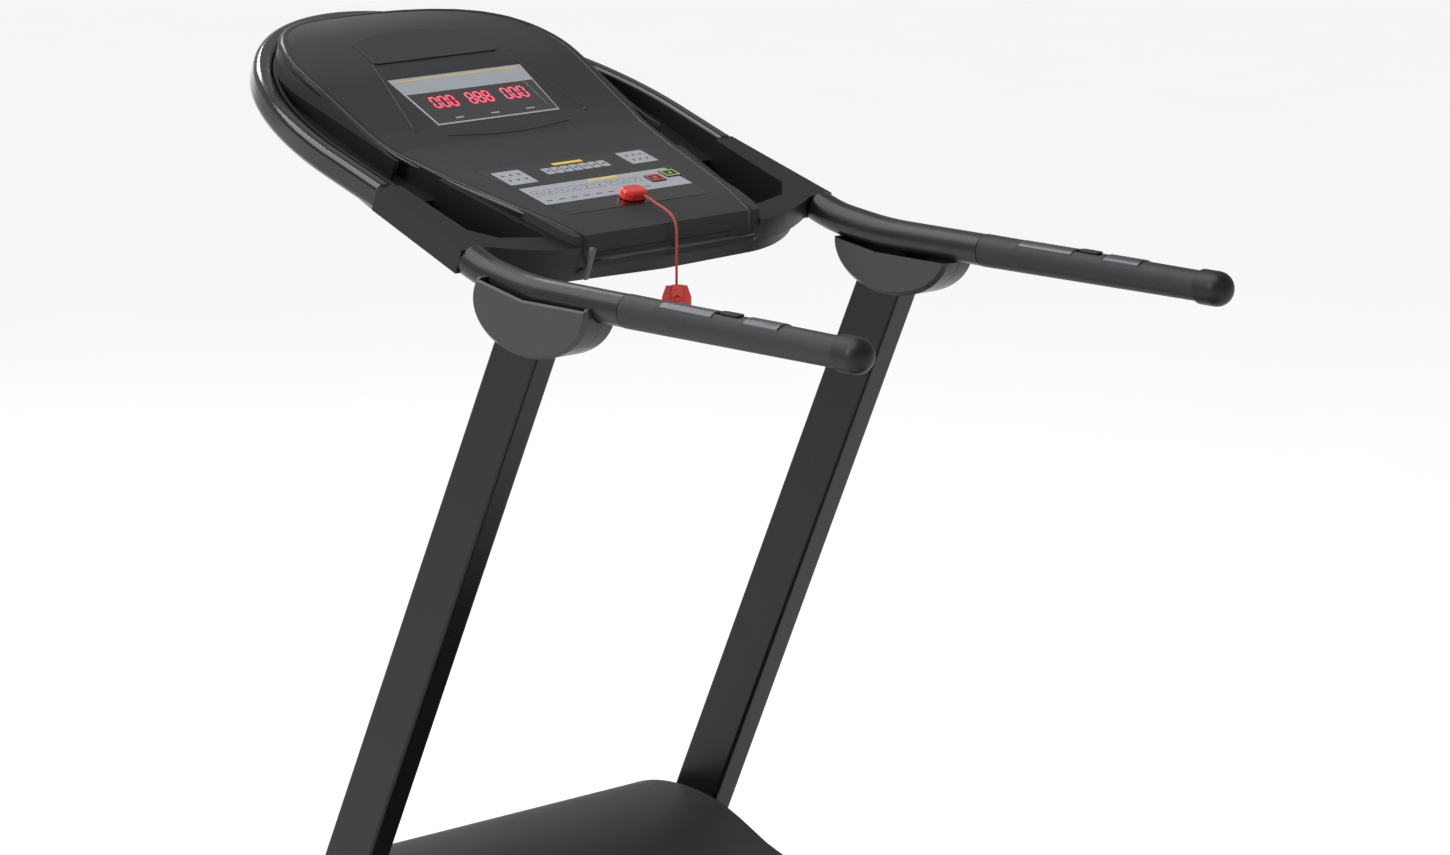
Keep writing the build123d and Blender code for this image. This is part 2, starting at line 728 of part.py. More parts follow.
with BuildPart() as console_hoop:
    with BuildSketch(console_plane.offset(-HOOP_HEIGHT / 2)):
        with BuildLine():
            Line((312 - HOOP_WIDTH, HOOP_SEAM_U), (312, HOOP_SEAM_U))
            Line((312, HOOP_SEAM_U), (312, HOOP_CENTRE_U))
            EllipticalCenterArc((0, HOOP_CENTRE_U), *HOOP_OUTER, start_angle=0, arc_size=90)
            Line((0, HOOP_CENTRE_U + 348), (0, HOOP_CENTRE_U + 324))
            EllipticalCenterArc((0, HOOP_CENTRE_U), *TRAY_OUTER, start_angle=0, arc_size=90)
            Line((288, HOOP_CENTRE_U), (288, HOOP_SEAM_U))
        make_face()
        mirror(about=Plane.YZ)
    extrude(amount=HOOP_HEIGHT)
    n_axis = Axis(console_plane.origin, console_plane.z_dir)
    flat_faces = console_hoop.faces().filter_by(n_axis).sort_by(n_axis)
    long_edges = (flat_faces[0].edges() + flat_faces[-1].edges()).filter_by(
        lambda edge: edge.length > 60
    )
    fillet(long_edges, radius=9)
keep("console_hoop", console_hoop)

with BuildPart() as display_panel:
    with BuildSketch(display_plane.offset(-1.4)):
        with BuildLine():
            display_outline()
        make_face()
        with Locations((0, WINDOW_V)):
            Rectangle(*WINDOW_SIZE, mode=Mode.SUBTRACT)
    extrude(amount=2)
keep("display_panel", display_panel)

with BuildPart() as display_window:
    with BuildSketch(display_plane.offset(-1.4)):
        with Locations((0, WINDOW_V)):
            Rectangle(*WINDOW_SIZE)
    extrude(amount=1.8)
keep("display_window", display_window)

with BuildPart() as led_display_board:
    with BuildSketch(display_plane.offset(-9)):
        with Locations((0, WINDOW_V)):
            Rectangle(196, 60)
    extrude(amount=1.6)
    for x in (-62, 0, 62):
        with BuildSketch(display_plane.offset(-7.4)):
            with Locations((x, WINDOW_V)):
                Rectangle(48, 24)
        extrude(amount=5.5)

with BuildPart() as keypad_overlay:
    with BuildSketch(keypad_plane.offset(-0.9)):
        with BuildLine():
            keypad_outline()
        make_face()
        with Locations(START_KEY, STOP_KEY):
            RectangleRounded(KEY_SIZE[0] + 0.6, KEY_SIZE[1] + 0.6, 3.3, mode=Mode.SUBTRACT)
    extrude(amount=0.9 + KEYPAD_RISE)
keep("keypad_overlay", keypad_overlay)

for key_name, place in (("start_key", START_KEY), ("stop_key", STOP_KEY)):
    with BuildPart() as key:
        with BuildSketch(keypad_plane.offset(-2.5)):
            with Locations(place):
                RectangleRounded(*KEY_SIZE, 3)
        extrude(amount=4.2)
        chamfer(key.faces().sort_by(n_axis)[-1].edges(), length=0.5)
    keep(key_name, key)

with BuildPart() as keypad_circuit_board:
    with BuildSketch(keypad_plane.offset(-8)):
        with Locations((0, -4)):
            Rectangle(260, 120)
    extrude(amount=1.6)
    for place in (START_KEY, STOP_KEY):
        with BuildSketch(keypad_plane.offset(-6.4)):
            with Locations(place):
                Rectangle(6, 6)
        extrude(amount=2.4)
keep_group("console_circuit_boards", led_display_board, keypad_circuit_board)


# ---------------------------------------------------------------- safety key, cord and clip

safety_plane = tilted_plane(*console_point(4, 46, 25.1), KEYPAD_TILT)
SAFETY_KEY_HEIGHT = 12
with BuildPart() as safety_key:
    with BuildSketch(safety_plane):
        SlotOverall(38, 24)
    extrude(amount=SAFETY_KEY_HEIGHT)
    fillet(safety_key.faces().sort_by(n_axis)[-1].edges(), radius=4)
keep("safety_key", safety_key)

# The cord leaves the key towards the runner, drops over the console's lip and hangs with its clip.
CORD_RADIUS = 1.6
CORD_ROUTE = (
    (10.5, 303.5, 1079.0),
    (10.4, 293.0, 1076.2),
    (9.8, 280.5, 1071.0),
    (8.8, 268.0, 1067.2),
    (7.4, 256.5, 1063.0),
    (5.8, 245.5, 1057.5),
    (4.4, 239.0, 1047.5),
    (3.2, 237.4, 1031.0),
    (2.4, 236.8, 1011.0),
    (2.0, 236.6, 991.0),
    (2.0, 236.6, 972.5),
)


def cord_radii(route):
    """Largest arc at each corner that its two runs allow."""
    points = [Vector(*place) for place in route]
    radii = []
    for before, corner, after in zip(points, points[1:], points[2:]):
        turn = radians((corner - before).get_angle(after - corner))
        shorter = min((corner - before).length, (after - corner).length)
        radii.append(0.45 * shorter / tan(turn / 2))
    return radii


radii = cord_radii(CORD_ROUTE)
print("cord radii", [round(radius, 1) for radius in radii])
with BuildPart() as safety_cord:
    with BuildLine() as cord_path:
        FilletPolyline(*CORD_ROUTE, radius=radii)
    with BuildSketch(Plane(origin=cord_path.line @ 0, z_dir=cord_path.line % 0)):
        Circle(CORD_RADIUS)
    sweep()
keep("safety_cord", safety_cord)
cord_length = sum(edge.length for edge in cord_path.edges())
print("cord length", round(cord_length, 1), "volume", round(safety_cord.part.volume, 1))
print("section times length", round(pi * CORD_RADIUS**2 * cord_length, 1))

CLIP_TOP = (2, 236.6, 974)
CLIP_TURN = -40
CLIP_PIVOT_Z = CLIP_TOP[2] - 16


def turned_clip(builder):
    """A piece of the clip, turned about the hanging cord."""
    with BuildPart() as turned:
        add(builder.part.rotate(Axis(CLIP_TOP, (0, 0, 1)), CLIP_TURN))
    return turned


with BuildPart() as clip_body:
    with BuildSketch(Plane(origin=CLIP_TOP, x_dir=(1, 0, 0), z_dir=(0, -1, 0))):
        with BuildLine():
            Polyline((-13, 0), (13, 0), (18, -14), (18, -40), (-18, -40), (-18, -14), close=True)
        make_face()
    extrude(amount=1.6, both=True)
    with BuildSketch(across(CLIP_TOP[0], CLIP_TOP[1], CLIP_PIVOT_Z)):
        with Locations((-4, 0)):
            Rectangle(7, 6)
        with Locations((-4.6, 0)):
            Circle(1.3, mode=Mode.SUBTRACT)
    extrude(amount=2, both=True)

clip_axis = Plane(origin=(CLIP_TOP[0], CLIP_TOP[1] - 4.6, CLIP_PIVOT_Z), z_dir=(1, 0, 0))
with BuildPart() as clip_pin:
    with Locations(clip_axis):
        Cylinder(radius=1.3, height=16)
keep_group("clip_body", turned_clip(clip_body), turned_clip(clip_pin))

with BuildPart() as clip_jaw:
    with BuildSketch(across(CLIP_TOP[0], CLIP_TOP[1], CLIP_TOP[2])):
        with BuildLine():
            Polyline((-7, 2), (-5.6, -24), (-2.2, -39), (-2.2, -36), (-3.6, -24), (-5.2, 2), close=True)
        make_face()
        with Locations((-4.6, -16)):
            Circle(3)
    extrude(amount=7, both=True)
    with Locations((CLIP_TOP[0], CLIP_TOP[1] - 3.6, CLIP_PIVOT_Z)):
        Box(4.8, 8.6, 9, mode=Mode.SUBTRACT)
    with Locations(clip_axis):
        Cylinder(radius=1.36, height=20, mode=Mode.SUBTRACT)
keep("clip_jaw", turned_clip(clip_jaw))

# ---------------------------------------------------------------- deck frame

deck_rails = []
for _, side in SIDES:
    rail_start = Plane(
        origin=(side * RAIL_X, RAIL_REAR_Y, (RAIL_BOTTOM_Z + RAIL_TOP_Z) / 2),
        x_dir=(1, 0, 0),
        z_dir=(0, 1, 0),
    )
    rail_height = RAIL_TOP_Z - RAIL_BOTTOM_Z
    with BuildPart() as deck_rail:
        with BuildSketch(rail_start):
            Rectangle(RAIL_WIDTH, rail_height)
            Rectangle(RAIL_WIDTH - 2 * STEEL, rail_height - 2 * STEEL, mode=Mode.SUBTRACT)
        extrude(amount=RAIL_FRONT_Y - RAIL_REAR_Y)
        with BuildSketch(rail_start):
            Rectangle(RAIL_WIDTH - 2 * STEEL, rail_height - 2 * STEEL)
            Circle(4.2, mode=Mode.SUBTRACT)
        extrude(amount=4)
        holes_side = across(side * RAIL_X, 0, 0)
        with BuildSketch(holes_side):
            with Locations((PIVOT_Y, PIVOT_Z)):
                Circle(16)
            with Locations((FRONT_ROLLER_Y, ROLLER_Z), (REAR_ROLLER_Y, ROLLER_Z)):
                Circle(AXLE_RADIUS)
        extrude(amount=RAIL_WIDTH, both=True, mode=Mode.SUBTRACT)
    deck_rails.append(deck_rail)

DECK_CROSS_YS = (-640, -215, STRUT_DECK_Y)
with BuildPart() as deck_cross_tubes:
    for y in DECK_CROSS_YS:
        with BuildSketch(across(-RAIL_X + RAIL_WIDTH / 2, y, 112.5)):
            Rectangle(40, 25)
            Rectangle(40 - 2 * STEEL, 25 - 2 * STEEL, mode=Mode.SUBTRACT)
        extrude(amount=2 * RAIL_X - RAIL_WIDTH)
    # stub tubes that turn on the pivot pins
    for _, side in SIDES:
        with BuildSketch(across(side * 205, PIVOT_Y, PIVOT_Z)):
            Circle(16)
            Circle(9, mode=Mode.SUBTRACT)
        extrude(amount=side * 67)
    # ears of the gas strut
    for x in (-10, 10):
        with BuildSketch(across(x - 1.5, STRUT_DECK_Y, 0)):
            with Locations((0, 88)):
                Rectangle(26, 24)
            with Locations((0, STRUT_DECK_Z)):
                Circle(13)
                Circle(STRUT_PIN_RADIUS, mode=Mode.SUBTRACT)
        extrude(amount=3)
keep_group("deck_frame", *deck_rails, deck_cross_tubes)

with BuildPart() as pivot_bushes:
    for _, side in SIDES:
        with BuildSketch(across(side * 206, PIVOT_Y, PIVOT_Z)):
            Circle(9)
            Circle(6.08, mode=Mode.SUBTRACT)
        extrude(amount=side * 66)
        with BuildSketch(across(side * 272, PIVOT_Y, PIVOT_Z)):
            Circle(14)
            Circle(6.08, mode=Mode.SUBTRACT)
        extrude(amount=side * 3)

board_front_y = HOOD_REAR_Y - 4
board_rear_y = REAR_ROLLER_Y + ROLLER_RADIUS + 6
with BuildPart() as running_board:
    with Locations((0, (board_front_y + board_rear_y) / 2, BOARD_TOP_Z - BOARD_THICKNESS / 2)):
        Box(2 * RAIL_X, board_front_y - board_rear_y, BOARD_THICKNESS)
    fillet(running_board.edges().filter_by(Axis.X).group_by(Axis.Z)[-1], radius=6)
keep("running_board", running_board)

with BuildPart() as board_cushions:
    for _, side in SIDES:
        for y in (-600, -100, 240):
            with Locations((side * (RAIL_X - 3), y, 155)):
                Box(22, 44, 10)
keep_group("cushions_and_bushes", board_cushions, pivot_bushes)

belt_inner_radius = ROLLER_RADIUS + 0.1
with BuildPart() as running_belt:
    with BuildSketch(across(-BELT_HALF_WIDTH, (FRONT_ROLLER_Y + REAR_ROLLER_Y) / 2, ROLLER_Z)):
        spacing = FRONT_ROLLER_Y - REAR_ROLLER_Y
        SlotCenterToCenter(spacing, 2 * (belt_inner_radius + BELT_THICKNESS))
        SlotCenterToCenter(spacing, 2 * belt_inner_radius, mode=Mode.SUBTRACT)
    extrude(amount=2 * BELT_HALF_WIDTH)
keep("running_belt", running_belt)

DRUM_HALF_LENGTH = 203
with BuildPart() as front_roller:
    with BuildSketch(across(-DRUM_HALF_LENGTH, FRONT_ROLLER_Y, ROLLER_Z)):
        Circle(ROLLER_RADIUS)
    extrude(amount=2 * DRUM_HALF_LENGTH)
    for y_side in (-1, 1):
        with BuildSketch(across(PULLEY_X + y_side * 4.5, FRONT_ROLLER_Y, ROLLER_Z)):
            Circle(ROLLER_PULLEY_RADIUS + 2)
        extrude(amount=y_side * 4.5)
    with BuildSketch(across(PULLEY_X - 9, FRONT_ROLLER_Y, ROLLER_Z)):
        Circle(ROLLER_PULLEY_RADIUS)
    extrude(amount=18)
    with BuildSketch(across(-DRUM_HALF_LENGTH - 20, FRONT_ROLLER_Y, ROLLER_Z)):
        Circle(14)
    extrude(amount=20)
    with BuildSketch(across(-240, FRONT_ROLLER_Y, ROLLER_Z)):
        Circle(AXLE_RADIUS + 0.06)
    extrude(amount=480, mode=Mode.SUBTRACT)
keep("front_roller", front_roller)

with BuildPart() as rear_roller:
    with BuildSketch(across(-DRUM_HALF_LENGTH, REAR_ROLLER_Y, ROLLER_Z)):
        Circle(ROLLER_RADIUS)
        Circle(AXLE_RADIUS + 0.06, mode=Mode.SUBTRACT)
    extrude(amount=2 * DRUM_HALF_LENGTH)
keep("rear_roller", rear_roller)

# the two fixed axles and the blocks that hold them on the rails
with BuildPart() as roller_axles:
    for y in (FRONT_ROLLER_Y, REAR_ROLLER_Y):
        with BuildSketch(across(-RAIL_X - 8, y, ROLLER_Z)):
            Circle(AXLE_RADIUS)
        extrude(amount=2 * RAIL_X + 16)
keep("roller_axles", roller_axles)

with BuildPart() as axle_blocks:
    for _, side in SIDES:
        for y in (FRONT_ROLLER_Y, REAR_ROLLER_Y):
            with BuildSketch(across(side * (RAIL_X - 8), y, ROLLER_Z)):
                with Locations((0, (RAIL_TOP_Z - ROLLER_Z + 14) / 2)):
                    Rectangle(24, 14 + ROLLER_Z - RAIL_TOP_Z)
                Circle(AXLE_RADIUS, mode=Mode.SUBTRACT)
                with Locations((0, -14)):
                    Rectangle(30, 19.2, mode=Mode.SUBTRACT)
            extrude(amount=side * 16)

with BuildPart() as tension_bolts:
    for _, side in SIDES:
        bolt_start = Plane(
            origin=(side * RAIL_X, RAIL_REAR_Y + 20, (RAIL_BOTTOM_Z + RAIL_TOP_Z) / 2), z_dir=(0, -1, 0)
        )
        with BuildSketch(bolt_start):
            Circle(4)
        extrude(amount=20)
        with BuildSketch(bolt_start.offset(20)):
            Circle(6.5)
        extrude(amount=8)
        with BuildSketch(bolt_start.offset(23)):
            RegularPolygon(3.4, 6)
        extrude(amount=8, mode=Mode.SUBTRACT)

# ---------------------------------------------------------------- drive

TRAY_TOP_Z = RAIL_BOTTOM_Z + 3
with BuildPart() as motor_tray:
    with BuildSketch(across(-RAIL_X + RAIL_WIDTH / 2, 0, 0)):
        with BuildLine():
            Polyline(
                (392, RAIL_BOTTOM_Z),
                (RAIL_FRONT_Y, RAIL_BOTTOM_Z),
                (RAIL_FRONT_Y, 148),
                (RAIL_FRONT_Y - 3, 148),
                (RAIL_FRONT_Y - 3, TRAY_TOP_Z),
                (392, TRAY_TOP_Z),
                close=True,
            )
        make_face()
    extrude(amount=2 * RAIL_X - RAIL_WIDTH)
    # saddle of the motor
    for x in (-150, -50):
        with BuildSketch(across(x - 2, 0, 0)):
            with Locations((MOTOR_Y, (TRAY_TOP_Z + 170) / 2)):
                Rectangle(86, 170 - TRAY_TOP_Z)
            with Locations((MOTOR_Y, MOTOR_Z)):
                Circle(MOTOR_RADIUS, mode=Mode.SUBTRACT)
        extrude(amount=4)
    # openings for the mains inlet, the switch and the reset button
    with BuildSketch(Plane(origin=(0, RAIL_FRONT_Y + 1, 125), x_dir=(-1, 0, 0), z_dir=(0, 1, 0))):
        with Locations((170, 0)):
            Rectangle(28, 20)
        with Locations((120, 0)):
            Rectangle(22, 14)
        with Locations((85, 0)):
            Circle(5)
    extrude(amount=-6, mode=Mode.SUBTRACT)
keep("motor_tray", motor_tray)

MOTOR_REAR_X = -175
MOTOR_FRONT_X = -25
SHAFT_RADIUS = 6
with BuildPart() as drive_motor:
    with BuildSketch(across(MOTOR_REAR_X, MOTOR_Y, MOTOR_Z)):
        Circle(MOTOR_RADIUS)
    extrude(amount=MOTOR_FRONT_X - MOTOR_REAR_X)
    chamfer(drive_motor.faces().filter_by(Axis.X).edges(), length=4)
    with BuildSketch(across(MOTOR_REAR_X - 10, MOTOR_Y, MOTOR_Z)):
        Circle(SHAFT_RADIUS + 0.06)
    extrude(amount=MOTOR_FRONT_X - MOTOR_REAR_X + 20, mode=Mode.SUBTRACT)
keep("drive_motor", drive_motor)

with BuildPart() as motor_shaft:
    with BuildSketch(across(PULLEY_X - 10, MOTOR_Y, MOTOR_Z)):
        Circle(SHAFT_RADIUS)
    extrude(amount=MOTOR_FRONT_X - PULLEY_X + 14)
    with BuildSketch(across(PULLEY_X - 9, MOTOR_Y, MOTOR_Z)):
        Circle(MOTOR_PULLEY_RADIUS)
    extrude(amount=18)
    with BuildSketch(across(-200, MOTOR_Y, MOTOR_Z)):
        Circle(48)
    extrude(amount=13)
keep("motor_shaft", motor_shaft)

DRIVE_BELT_THICKNESS = 2
with BuildPart() as drive_belt:
    roller_in_view = (FRONT_ROLLER_Y, ROLLER_Z)
    motor_in_view = (MOTOR_Y, MOTOR_Z)
    for gap, cut in ((0.1 + DRIVE_BELT_THICKNESS, Mode.ADD), (0.1, Mode.SUBTRACT)):
        with BuildSketch(across(PULLEY_X - 4.2, 0, 0)) as loop:
            with Locations(roller_in_view):
                Circle(ROLLER_PULLEY_RADIUS + gap)
            with Locations(motor_in_view):
                Circle(MOTOR_PULLEY_RADIUS + gap)
            make_hull()
        extrude(amount=8.4, mode=cut)
keep("drive_belt", drive_belt)

with BuildPart() as motor_controller:
    with Locations((100, 555, TRAY_TOP_Z + 2)):
        Box(150, 80, 4)
    for x in range(30, 175, 12):
        with Locations((x, 540, TRAY_TOP_Z + 14)):
            Box(3, 40, 20)
    for x in (60, 100, 140):
        with Locations((x, 578, TRAY_TOP_Z + 16)):
            Cylinder(radius=12, height=24)
keep("motor_controller", motor_controller)

inlet_plane = Plane(origin=(0, RAIL_FRONT_Y, 125), x_dir=(-1, 0, 0), z_dir=(0, 1, 0))
with BuildPart() as power_inlet:
    with BuildSketch(inlet_plane):
        with Locations((170, 0)):
            RectangleRounded(40, 26, 4)
    extrude(amount=2)
    with BuildSketch(inlet_plane):
        with Locations((170, 0)):
            Rectangle(27.6, 19.6)
    extrude(amount=-24)
    with BuildSketch(inlet_plane.offset(2)):
        with Locations((170, 0)):
            Rectangle(24, 16)
    extrude(amount=-18, mode=Mode.SUBTRACT)
    with BuildSketch(inlet_plane.offset(-16)):
        for x, y in ((163, -2), (177, -2), (170, 3)):
            with Locations((x, y)):
                Rectangle(2, 4)
    extrude(amount=13)

SWITCH_X = 120
with BuildPart() as switch_frame:
    with BuildSketch(inlet_plane):
        with Locations((SWITCH_X, 0)):
            RectangleRounded(26, 18, 2)
            Rectangle(19, 11, mode=Mode.SUBTRACT)
    extrude(amount=2)
    with BuildSketch(inlet_plane):
        with Locations((SWITCH_X, 0)):
            Rectangle(21.6, 13.6)
            Rectangle(19, 11, mode=Mode.SUBTRACT)
    extrude(amount=-16)
keep_group("power_inlet", power_inlet, switch_frame)

with BuildPart() as power_switch:
    with BuildSketch(Plane(origin=(-SWITCH_X, 0, 0), x_dir=(0, 1, 0), z_dir=(0, 0, 1)).offset(120.2)):
        with BuildLine():
            Polyline(
                (RAIL_FRONT_Y - 9, -7.4),
                (RAIL_FRONT_Y + 2.2, -8.2),
                (RAIL_FRONT_Y + 1.2, 0),
                (RAIL_FRONT_Y + 3.6, 8),
                (RAIL_FRONT_Y - 9, 7.4),
                close=True,
            )
        make_face()
    extrude(amount=9.6)
keep("power_switch", power_switch)

with BuildPart() as reset_button:
    with BuildSketch(inlet_plane.offset(-10)):
        with Locations((85, 0)):
            Circle(4.7)
    extrude(amount=15)
    fillet(reset_button.faces().sort_by(Axis.Y)[-1].edges(), radius=1)
keep("reset_button", reset_button)

# ---------------------------------------------------------------- deck covers

HOOD_WALL = 3


def hood_profile(inset=0):
    """Side view of the motor hood."""
    Polyline(
        (HOOD_FRONT_Y - inset, RAIL_TOP_Z - inset),
        (HOOD_REAR_Y + inset, RAIL_TOP_Z - inset),
        (HOOD_REAR_Y + inset, 196 - inset),
        (330, 208 - inset),
    )
    Spline(
        (330, 208 - inset),
        (400, 243 - inset),
        (480, 260 - inset),
        (560, 250 - inset),
        (HOOD_FRONT_Y - 6 - inset, 205 - inset),
        tangents=((2, 1), (0.45, -1)),
    )
    Line((HOOD_FRONT_Y - 6 - inset, 205 - inset), (HOOD_FRONT_Y - inset, RAIL_TOP_Z - inset))


with BuildPart() as hood_inside:
    with BuildSketch(across(-HOOD_HALF_WIDTH + HOOD_WALL, 0, 0)):
        with BuildLine():
            hood_profile(HOOD_WALL)
        make_face()
    extrude(amount=2 * (HOOD_HALF_WIDTH - HOOD_WALL))

with BuildPart() as motor_hood:
    with BuildSketch(across(-HOOD_HALF_WIDTH, 0, 0)):
        with BuildLine():
            hood_profile()
        make_face()
    extrude(amount=2 * HOOD_HALF_WIDTH)
    add(hood_inside.part, mode=Mode.SUBTRACT)
    # the running belt passes under the rear edge
    with BuildSketch(Plane(origin=(0, HOOD_REAR_Y - 10, 0), x_dir=(1, 0, 0), z_dir=(0, -1, 0))):
        with Locations((0, 166)):
            Rectangle(2 * FOOT_RAIL_INNER_X, 36)
    extrude(amount=-30, mode=Mode.SUBTRACT)
    # cooling slots in the front
    with BuildSketch(Plane(origin=(0, HOOD_FRONT_Y + 20, 175), x_dir=(-1, 0, 0), z_dir=(0, 1, 0))):
        with GridLocations(24, 0, 15, 1):
            SlotOverall(26, 6, rotation=90)
    extrude(amount=-50, mode=Mode.SUBTRACT)
keep("motor_hood", motor_hood)

foot_rail_rear_y = DECK_REAR_Y + 78
for side_name, side in SIDES:
    with BuildPart() as foot_rail:
        with BuildSketch(
            Plane(origin=(0, foot_rail_rear_y, 0), x_dir=(side, 0, 0), z_dir=(0, -side, 0))
        ):
            with BuildLine():
                Polyline(
                    (FOOT_RAIL_INNER_X, 181.5),
                    (FOOT_RAIL_INNER_X, FOOT_RAIL_TOP_Z - 1),
                    (FOOT_RAIL_INNER_X + 1, FOOT_RAIL_TOP_Z),
                    (FOOT_RAIL_OUTER_X - 5, FOOT_RAIL_TOP_Z),
                    (FOOT_RAIL_OUTER_X, FOOT_RAIL_TOP_Z - 5),
                    (FOOT_RAIL_OUTER_X, 130),
                    (FOOT_RAIL_OUTER_X - 3, 130),
                    (FOOT_RAIL_OUTER_X - 3, FOOT_RAIL_TOP_Z - 4),
                    (FOOT_RAIL_INNER_X + 4, FOOT_RAIL_TOP_Z - 4),
                    (FOOT_RAIL_INNER_X + 4, 181.5),
                    close=True,
                )
            make_face()
        extrude(amount=-side * (HOOD_REAR_Y - 1 - foot_rail_rear_y))
    keep(f"foot_rail_{side_name}", foot_rail)

CAP_INNER_X = 204
CAP_FRONT_Y = foot_rail_rear_y - 0.5
CAP_BOTTOM_Z = 96
CAP_TOP_Z = 195
rear_end_caps = []
for _, side in SIDES:
    cap_middle_x = side * (CAP_INNER_X + FOOT_RAIL_OUTER_X + 2) / 2
    cap_width = FOOT_RAIL_OUTER_X + 2 - CAP_INNER_X
    cap_length = CAP_FRONT_Y - DECK_REAR_Y
    with BuildPart() as rear_end_cap:
        with Locations((cap_middle_x, DECK_REAR_Y + cap_length / 2, (CAP_TOP_Z + CAP_BOTTOM_Z) / 2)):
            Box(cap_width, cap_length, CAP_TOP_Z - CAP_BOTTOM_Z)
        fillet(rear_end_cap.edges().filter_by(Axis.X).group_by(Axis.Y)[0], radius=18)
        fillet(rear_end_cap.faces().sort_by(Axis.X)[0 if side < 0 else -1].edges(), radius=4)
        with Locations((cap_middle_x, DECK_REAR_Y + cap_length / 2 + 3, (CAP_TOP_Z + CAP_BOTTOM_Z) / 2)):
            Box(cap_width - 6, cap_length, CAP_TOP_Z - CAP_BOTTOM_Z - 6, mode=Mode.SUBTRACT)
        # slot for the roller axle, open to the front
        with Locations((side * (CAP_INNER_X + 1), REAR_ROLLER_Y + 20, ROLLER_Z)):
            Box(8, 56, 14, mode=Mode.SUBTRACT)
        with Locations(Plane(origin=(side * RAIL_X, DECK_REAR_Y, 125), z_dir=(0, 1, 0))):
            Cylinder(radius=8, height=12, mode=Mode.SUBTRACT)
    rear_end_caps.append(rear_end_cap)
keep_group("rear_end_caps", *rear_end_caps)

with BuildPart() as incline_plates:
    for _, side in SIDES:
        for x in (RAIL_X - 17, RAIL_X + 17):
            with BuildSketch(across(side * x, INCLINE_FOOT_Y, 0)):
                with Locations((0, (INCLINE_AXIS_Z + 125) / 2)):
                    Rectangle(34, 125 - INCLINE_AXIS_Z)
                with Locations((0, INCLINE_AXIS_Z)):
                    Circle(14)
                    Circle(5, mode=Mode.SUBTRACT)
            extrude(amount=2, both=True)
keep_group("deck_brackets", incline_plates, axle_blocks)

with BuildPart() as incline_bolts:
    for _, side in SIDES:
        with BuildSketch(across(side * (RAIL_X - 20), INCLINE_FOOT_Y, INCLINE_AXIS_Z)):
            Circle(5)
        extrude(amount=side * 40)
        with BuildSketch(across(side * (RAIL_X + 20), INCLINE_FOOT_Y, INCLINE_AXIS_Z)):
            Circle(8)
        extrude(amount=side * 5)

for side_name, side in SIDES:
    with BuildPart() as incline_foot:
        with BuildSketch(across(side * RAIL_X, INCLINE_FOOT_Y, INCLINE_AXIS_Z)) as foot_outline:
            # three flats at three distances from the bolt
            with BuildLine():
                Polyline(
                    (-13, -INCLINE_AXIS_Z), (13, -INCLINE_AXIS_Z), (13, -14), (36, -13), (36, 13), (13, 26),
                    (-13, 26), (-13, -INCLINE_AXIS_Z),
                )
            make_face()
            fillet(foot_outline.vertices(), radius=3)
            Circle(5.08, mode=Mode.SUBTRACT)
        extrude(amount=12, both=True)
    keep(f"incline_foot_{side_name}", incline_foot)

# ---------------------------------------------------------------- gas strut

strut_angle = degrees(atan2(STRUT_DECK_Z - STRUT_BASE_Z, STRUT_BASE_Y - STRUT_DECK_Y))
strut_length = hypot(STRUT_DECK_Z - STRUT_BASE_Z, STRUT_BASE_Y - STRUT_DECK_Y)
strut_dir = Vector(0, -cos(radians(strut_angle)), sin(radians(strut_angle)))
strut_base = Vector(0, STRUT_BASE_Y, STRUT_BASE_Z)
strut_plane = Plane(origin=strut_base, x_dir=(1, 0, 0), z_dir=strut_dir)
BARREL_END = 290

with BuildPart() as strut_anchor:
    for x in (-11.5, 11.5):
        with BuildSketch(across(x - 1.5, 0, 0)):
            with BuildLine():
                Polyline((548, 34), (605, 22), (605, 52), (548, 58), close=True)
            make_face()
            with Locations((STRUT_BASE_Y, STRUT_BASE_Z)):
                Circle(13)
                Circle(STRUT_PIN_RADIUS, mode=Mode.SUBTRACT)
        extrude(amount=3)
keep_group(
    "frame_brackets",
    deck_pivot_brackets,
    wheel_forks,
    upright_sockets,
    saddle_brackets,
    console_spigots,
    strut_anchor,
)

with BuildPart() as strut_base_pin:
    with BuildSketch(across(-15, STRUT_BASE_Y, STRUT_BASE_Z)):
        Circle(STRUT_PIN_RADIUS)
    extrude(amount=30)
keep_group("base_bolts_and_pins", upright_bolts, pivot_pins, wheel_axles, strut_base_pin)

with BuildPart() as strut_deck_pin:
    with BuildSketch(across(-13, STRUT_DECK_Y, STRUT_DECK_Z)):
        Circle(STRUT_PIN_RADIUS)
    extrude(amount=26)
keep_group("deck_bolts_and_pins", incline_bolts, tension_bolts, strut_deck_pin)

